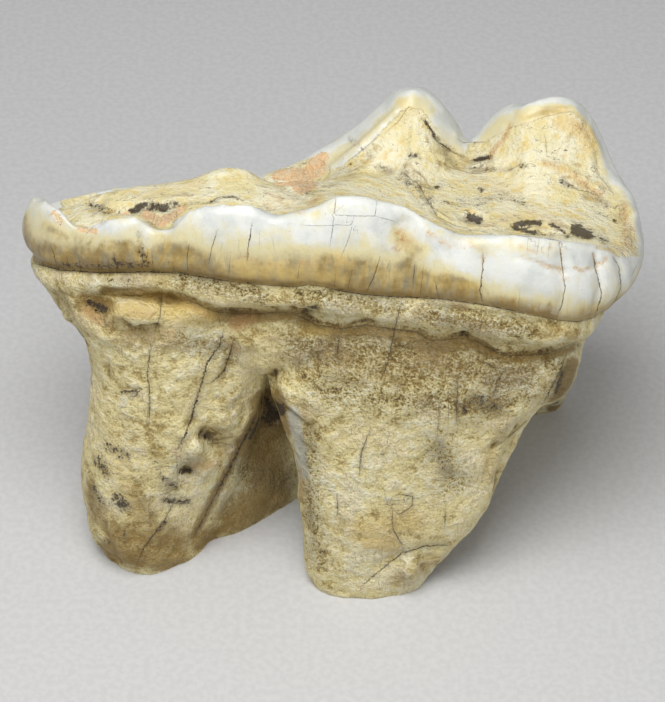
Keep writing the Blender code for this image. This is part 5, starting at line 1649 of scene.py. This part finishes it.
def root_paint(n, t, finish):
    """Roots and ledge: one scale from dark to light, lowered by brownish stains and painted shade, read in
    four tones, then patches, umber over the same stains and painted shade, and veins.
    """
    granular = n.times(n.sum(*weighed(t.off, ROOT_GRAIN)), t.grain)
    light = n.sum(ROOT_LIGHT, *weighed(t.off, ROOT_PATCHES), (t.proud, ROOT_PROUD), granular)
    # Painted shade: the scale falls where the brownish stains and painted shade lie, and in hollows.
    t.light = n.less(light, n.sum((t.brown, ROOT_DARKER), t.sunk))
    # Umber follows the stains and painted shade, less where noise and grain keep the root pale.
    kept = n.sum((t.off.middle, ROOT_UNBROWNED), (granular, GRAIN_UNBROWNED))
    t.browned = n.less(n.sum(t.brown, (t.off.wide, ROOT_BROWNED)), kept)
    paint = layered(n, t, finish, finish.cementum_brown, ROOT_LAYERS)
    veins = n.most(*(spots(n, t, bands) for bands in VEINS))
    return n.mix(n.times(veins, VEIN_SHARE), paint, finish.cementum_brown)


def dentine_paint(n, t, finish):
    """Chewing face: cream, pale, yellow and tan patches, then fibres, specks, umber marks and painted shade
    in hollows.
    """
    t.shaded = n.sum(t.brown, *weighed(t.off, DENTINE_SHADE))
    paint = layered(n, t, finish, finish.dentine, DENTINE_LAYERS)
    # Painted shade in hollows on the chewing face.
    return n.mix(n.times(t.sunk, HOLLOW_SHADE_SHARE), paint, finish.cementum_brown)


def enamel_paint(n, t, finish):
    """Enamel: yellow to cream to white by its whiteness, then blue clouds, hairlines, glow, soot, umber near
    the neck and tan in its hollows.
    """
    t.clouds = n.sum(t.white, n.sum(*weighed(t.off, ENAMEL_CLOUDS)))
    t.edge = n.sum(t.enamel_depth, (t.off.streak, EDGE_STREAKS))
    return layered(n, t, finish, finish.enamel_yellow, ENAMEL_LAYERS)


def stained(n, t, finish, paint):
    """Stains over the paint: yellow, cool and rusty ones, curls of rust, clay, then soot and black, which
    also lay the painted shade of the cave.
    """
    paint = layered(n, t, finish, paint, THIN_STAINS)
    curls = n.sum(*(spots(n, t, [band]) for band in RUST_CURLS))
    paint = n.mix(n.times(n.ease(*RUST_CORE, t.rusty), curls, CURL_SHARE), paint, finish.ochre)
    paler = n.mix(0.5, finish.clay, finish.dentine_pale)
    clay = n.mix(n.ease(*CLAY_PALER, t.middle), finish.clay, paler)
    t.clayey = n.ease(*CLAY_FADE, t.clayed)
    paint = n.mix(t.clayey, paint, layered(n, t, finish, clay, CLAY_LAYERS))
    return layered(n, t, finish, paint, BLACK_STAINS)


def cracked(n, t, finish, paint):
    """Cracks and lines of painted shade over the paint: a wobbling dark line where the distance passes 0, and
    a soft halo round it.
    """
    wobble = n.sum(*weighed(t.off, CRACK_WOBBLE))
    faint = n.sum(CRACK_LEAST, (n.ease(*CRACK_BREAKS, t.small), CRACK_MORE))
    lines, halos = [], []
    for gap, show in ((t.gap_a, t.show_a), (t.gap_b, t.show_b), (t.gap_neck, t.show_neck)):
        lines.append(n.times(n.near(*CRACK_LINE, n.sum(gap, wobble)), show))
        halos.append(n.times(n.near(*CRACK_HALO, gap), show))
    t.crack = n.times(n.most(*lines), faint)
    halo = n.times(n.most(*halos[:2]), t.not_enamel, n.ease(*HALO_PATCHES, t.middle))
    paint = n.mix(n.times(n.most(halo, halos[2]), HALO_SHARE), paint, finish.cementum_brown)
    return n.mix(t.crack, paint, finish.crack)


def tooth_material(finish):
    """Enamel, dentine and cementum told apart by fields on the mesh, then stains, clay and cracks on them."""
    material = bpy.data.materials.new("fossil tooth")
    material.use_nodes = True
    n = Nodes(material.node_tree)
    shader = material.node_tree.nodes["Principled BSDF"]
    t = tooth_parts(n)
    paint = n.mix(t.is_crown, root_paint(n, t, finish), dentine_paint(n, t, finish))
    paint = n.mix(t.is_enamel, paint, enamel_paint(n, t, finish))
    paint = cracked(n, t, finish, stained(n, t, finish, paint))
    n.feed(shader.inputs["Base Color"], paint)

    rough = n.blend(t.is_enamel, n.blend(t.is_crown, *DULL), n.sum(GLOSSY, (t.small, GLOSS_UNEVEN)))
    rough = n.blend(n.most(t.crack, t.clayey), rough, DULLEST)
    n.feed(shader.inputs["Roughness"], rough)

    grains = [(value, t.grain, weight) for value, weight in weighed(t.off, BUMP_GRAIN)]
    coarse = n.times(
        n.sum(*grains, (t.off.middle, BUMP_LUMPS)), t.not_enamel, n.blend(t.is_crown, 1.0, BUMP_DENTINE))
    smooth = n.times(n.sum((t.streak, 0.5), t.middle), t.is_enamel, BUMP_ENAMEL)
    height = n.sum(coarse, (t.off.small, t.clayey, BUMP_CLAY), smooth, (t.crack, BUMP_CRACK))
    bump = n.add("Bump")
    bump.inputs["Distance"].default_value = MM
    bump.inputs["Strength"].default_value = 1.0
    n.feed(bump.inputs["Height"], height)
    n.feed(shader.inputs["Normal"], bump.outputs["Normal"])
    return material


# ---- stage ----
def aimed(thing, place, target):
    """Puts a light or camera at a place, pointing at a target."""
    thing.location = place
    thing.rotation_mode = "QUATERNION"
    thing.rotation_quaternion = (Vector(place) - Vector(target)).to_track_quat("Z", "Y")
    bpy.context.scene.collection.objects.link(thing)
    return thing


def soft_light(name, place, size, strength):
    """A square soft light pointing at the tooth."""
    lamp = bpy.data.lights.new(name, "AREA")
    lamp.size = size
    lamp.energy = strength
    return aimed(bpy.data.objects.new(name, lamp), place, LIT_POINT)


def floor_disc(radius=1.5, rows=24, columns=96):
    """A flat disc: radius along one parameter and angle along the other, at zero height."""
    reach = np.linspace(0, 1, rows + 1)[1:, None] ** 2 * radius
    angle = np.linspace(0, math.tau, columns, endpoint=False)[None]
    points = np.stack([reach * np.cos(angle), reach * np.sin(angle), np.zeros((rows, columns))], 2)
    points = np.concatenate([points.reshape(-1, 3), [[0, 0, 0]]])
    this = np.arange(columns)
    after = (this + 1) % columns
    row = np.arange(rows - 1)[:, None] * columns
    quads = np.stack([row + this, row + columns + this, row + columns + after, row + after], 2).reshape(-1, 4)
    fan = np.stack([np.full(columns, rows * columns), this, after], 1)
    mesh = bpy.data.meshes.new("floor")
    mesh.from_pydata(points.tolist(), [], quads.tolist() + fan.tolist())
    floor = bpy.data.objects.new("floor", mesh)
    bpy.context.scene.collection.objects.link(floor)
    return floor


def floor_material(stage):
    """One plain colour with faint flecks a little darker."""
    material = bpy.data.materials.new("pale floor")
    material.use_nodes = True
    n = Nodes(material.node_tree)
    shader = material.node_tree.nodes["Principled BSDF"]
    fleck = n.noise(n.place((1, 1, 1)), *FLECKS)
    darker = tuple(FLECK_SHADE * part for part in stage.floor[:3]) + (1.0,)
    n.feed(shader.inputs["Base Color"], n.mix(n.ease(*FLECK_FADE, fleck), darker, stage.floor))
    shader.inputs["Roughness"].default_value = FLOOR_ROUGHNESS
    return material


# ---- operators ----
class FOSSIL_OT_tooth(bpy.types.Operator):
    """Builds the tooth: its skin, its relief, the fields on it and its finish"""

    bl_idname = "fossil.tooth"
    bl_label = "Build the tooth"

    def execute(self, context):
        shape, finish = context.scene.fossil_tooth_shape, context.scene.fossil_tooth_finish
        tooth = shape_tooth(shape)
        paint_fields(tooth, shape.lean)
        tooth.data.materials.clear()
        tooth.data.materials.append(tooth_material(finish))
        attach(tooth, "root")
        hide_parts(NAME)
        return {"FINISHED"}


class FOSSIL_OT_stage(bpy.types.Operator):
    """Lays the floor and sets the lights and the camera"""

    bl_idname = "fossil.stage"
    bl_label = "Set the stage"

    def execute(self, context):
        scene, stage = context.scene, context.scene.fossil_tooth_stage
        floor = floor_disc()
        floor.data.materials.append(floor_material(stage))
        soft_light("key light", KEY_PLACE, KEY_SIZE, stage.key_power)
        soft_light("fill light", FILL_PLACE, FILL_SIZE, stage.fill_power)
        world = bpy.data.worlds.new("even light")
        world.use_nodes = True
        sky = world.node_tree.nodes["Background"].inputs
        sky["Color"].default_value = (1, 1, 1, 1)
        sky["Strength"].default_value = stage.sky
        scene.world = world
        scene.view_settings.view_transform = "Standard"
        lens = bpy.data.cameras.new("camera")
        lens.sensor_width = SENSOR
        lens.lens = SENSOR * FOCAL_PIXELS / max(FRAME_SIZE)
        lens.clip_start = 0.001
        aim = Vector(VIEW_AIM) * MM
        eye = aim + Vector(view_back()) * VIEW_DISTANCE * MM
        scene.camera = aimed(bpy.data.objects.new("camera", lens), eye, aim)
        return {"FINISHED"}


class FOSSIL_PT_tooth(bpy.types.Panel):
    """Lists the builders and what they read"""

    bl_idname = "FOSSIL_PT_tooth"
    bl_label = "Fossil tooth"
    bl_space_type = "VIEW_3D"
    bl_region_type = "UI"
    bl_category = "Fossil tooth"

    def draw(self, context):
        for name, operator in zip(GROUPS, ("fossil.tooth", None, "fossil.stage")):
            group, box = getattr(context.scene, name), self.layout.box()
            for setting in group.__annotations__:
                box.prop(group, setting)
            if operator:
                box.operator(operator)


CLASSES = (
    FossilToothShape, FossilToothFinish, FossilToothStage, FOSSIL_OT_tooth, FOSSIL_OT_stage, FOSSIL_PT_tooth,
)
GROUPS = {
    "fossil_tooth_shape": FossilToothShape,
    "fossil_tooth_finish": FossilToothFinish,
    "fossil_tooth_stage": FossilToothStage,
}


def register():
    """Makes the operators, the panel and the settings known."""
    for item in CLASSES:
        bpy.utils.register_class(item)
    for name, group in GROUPS.items():
        setattr(bpy.types.Scene, name, bpy.props.PointerProperty(type=group))


def unregister():
    """Takes them out again."""
    for name in GROUPS:
        delattr(bpy.types.Scene, name)
    for item in reversed(CLASSES):
        bpy.utils.unregister_class(item)


def main():
    """Builds the tooth and sets the stage."""
    register()
    bpy.ops.fossil.tooth()
    bpy.ops.fossil.stage()


if __name__ == "__main__":
    main()
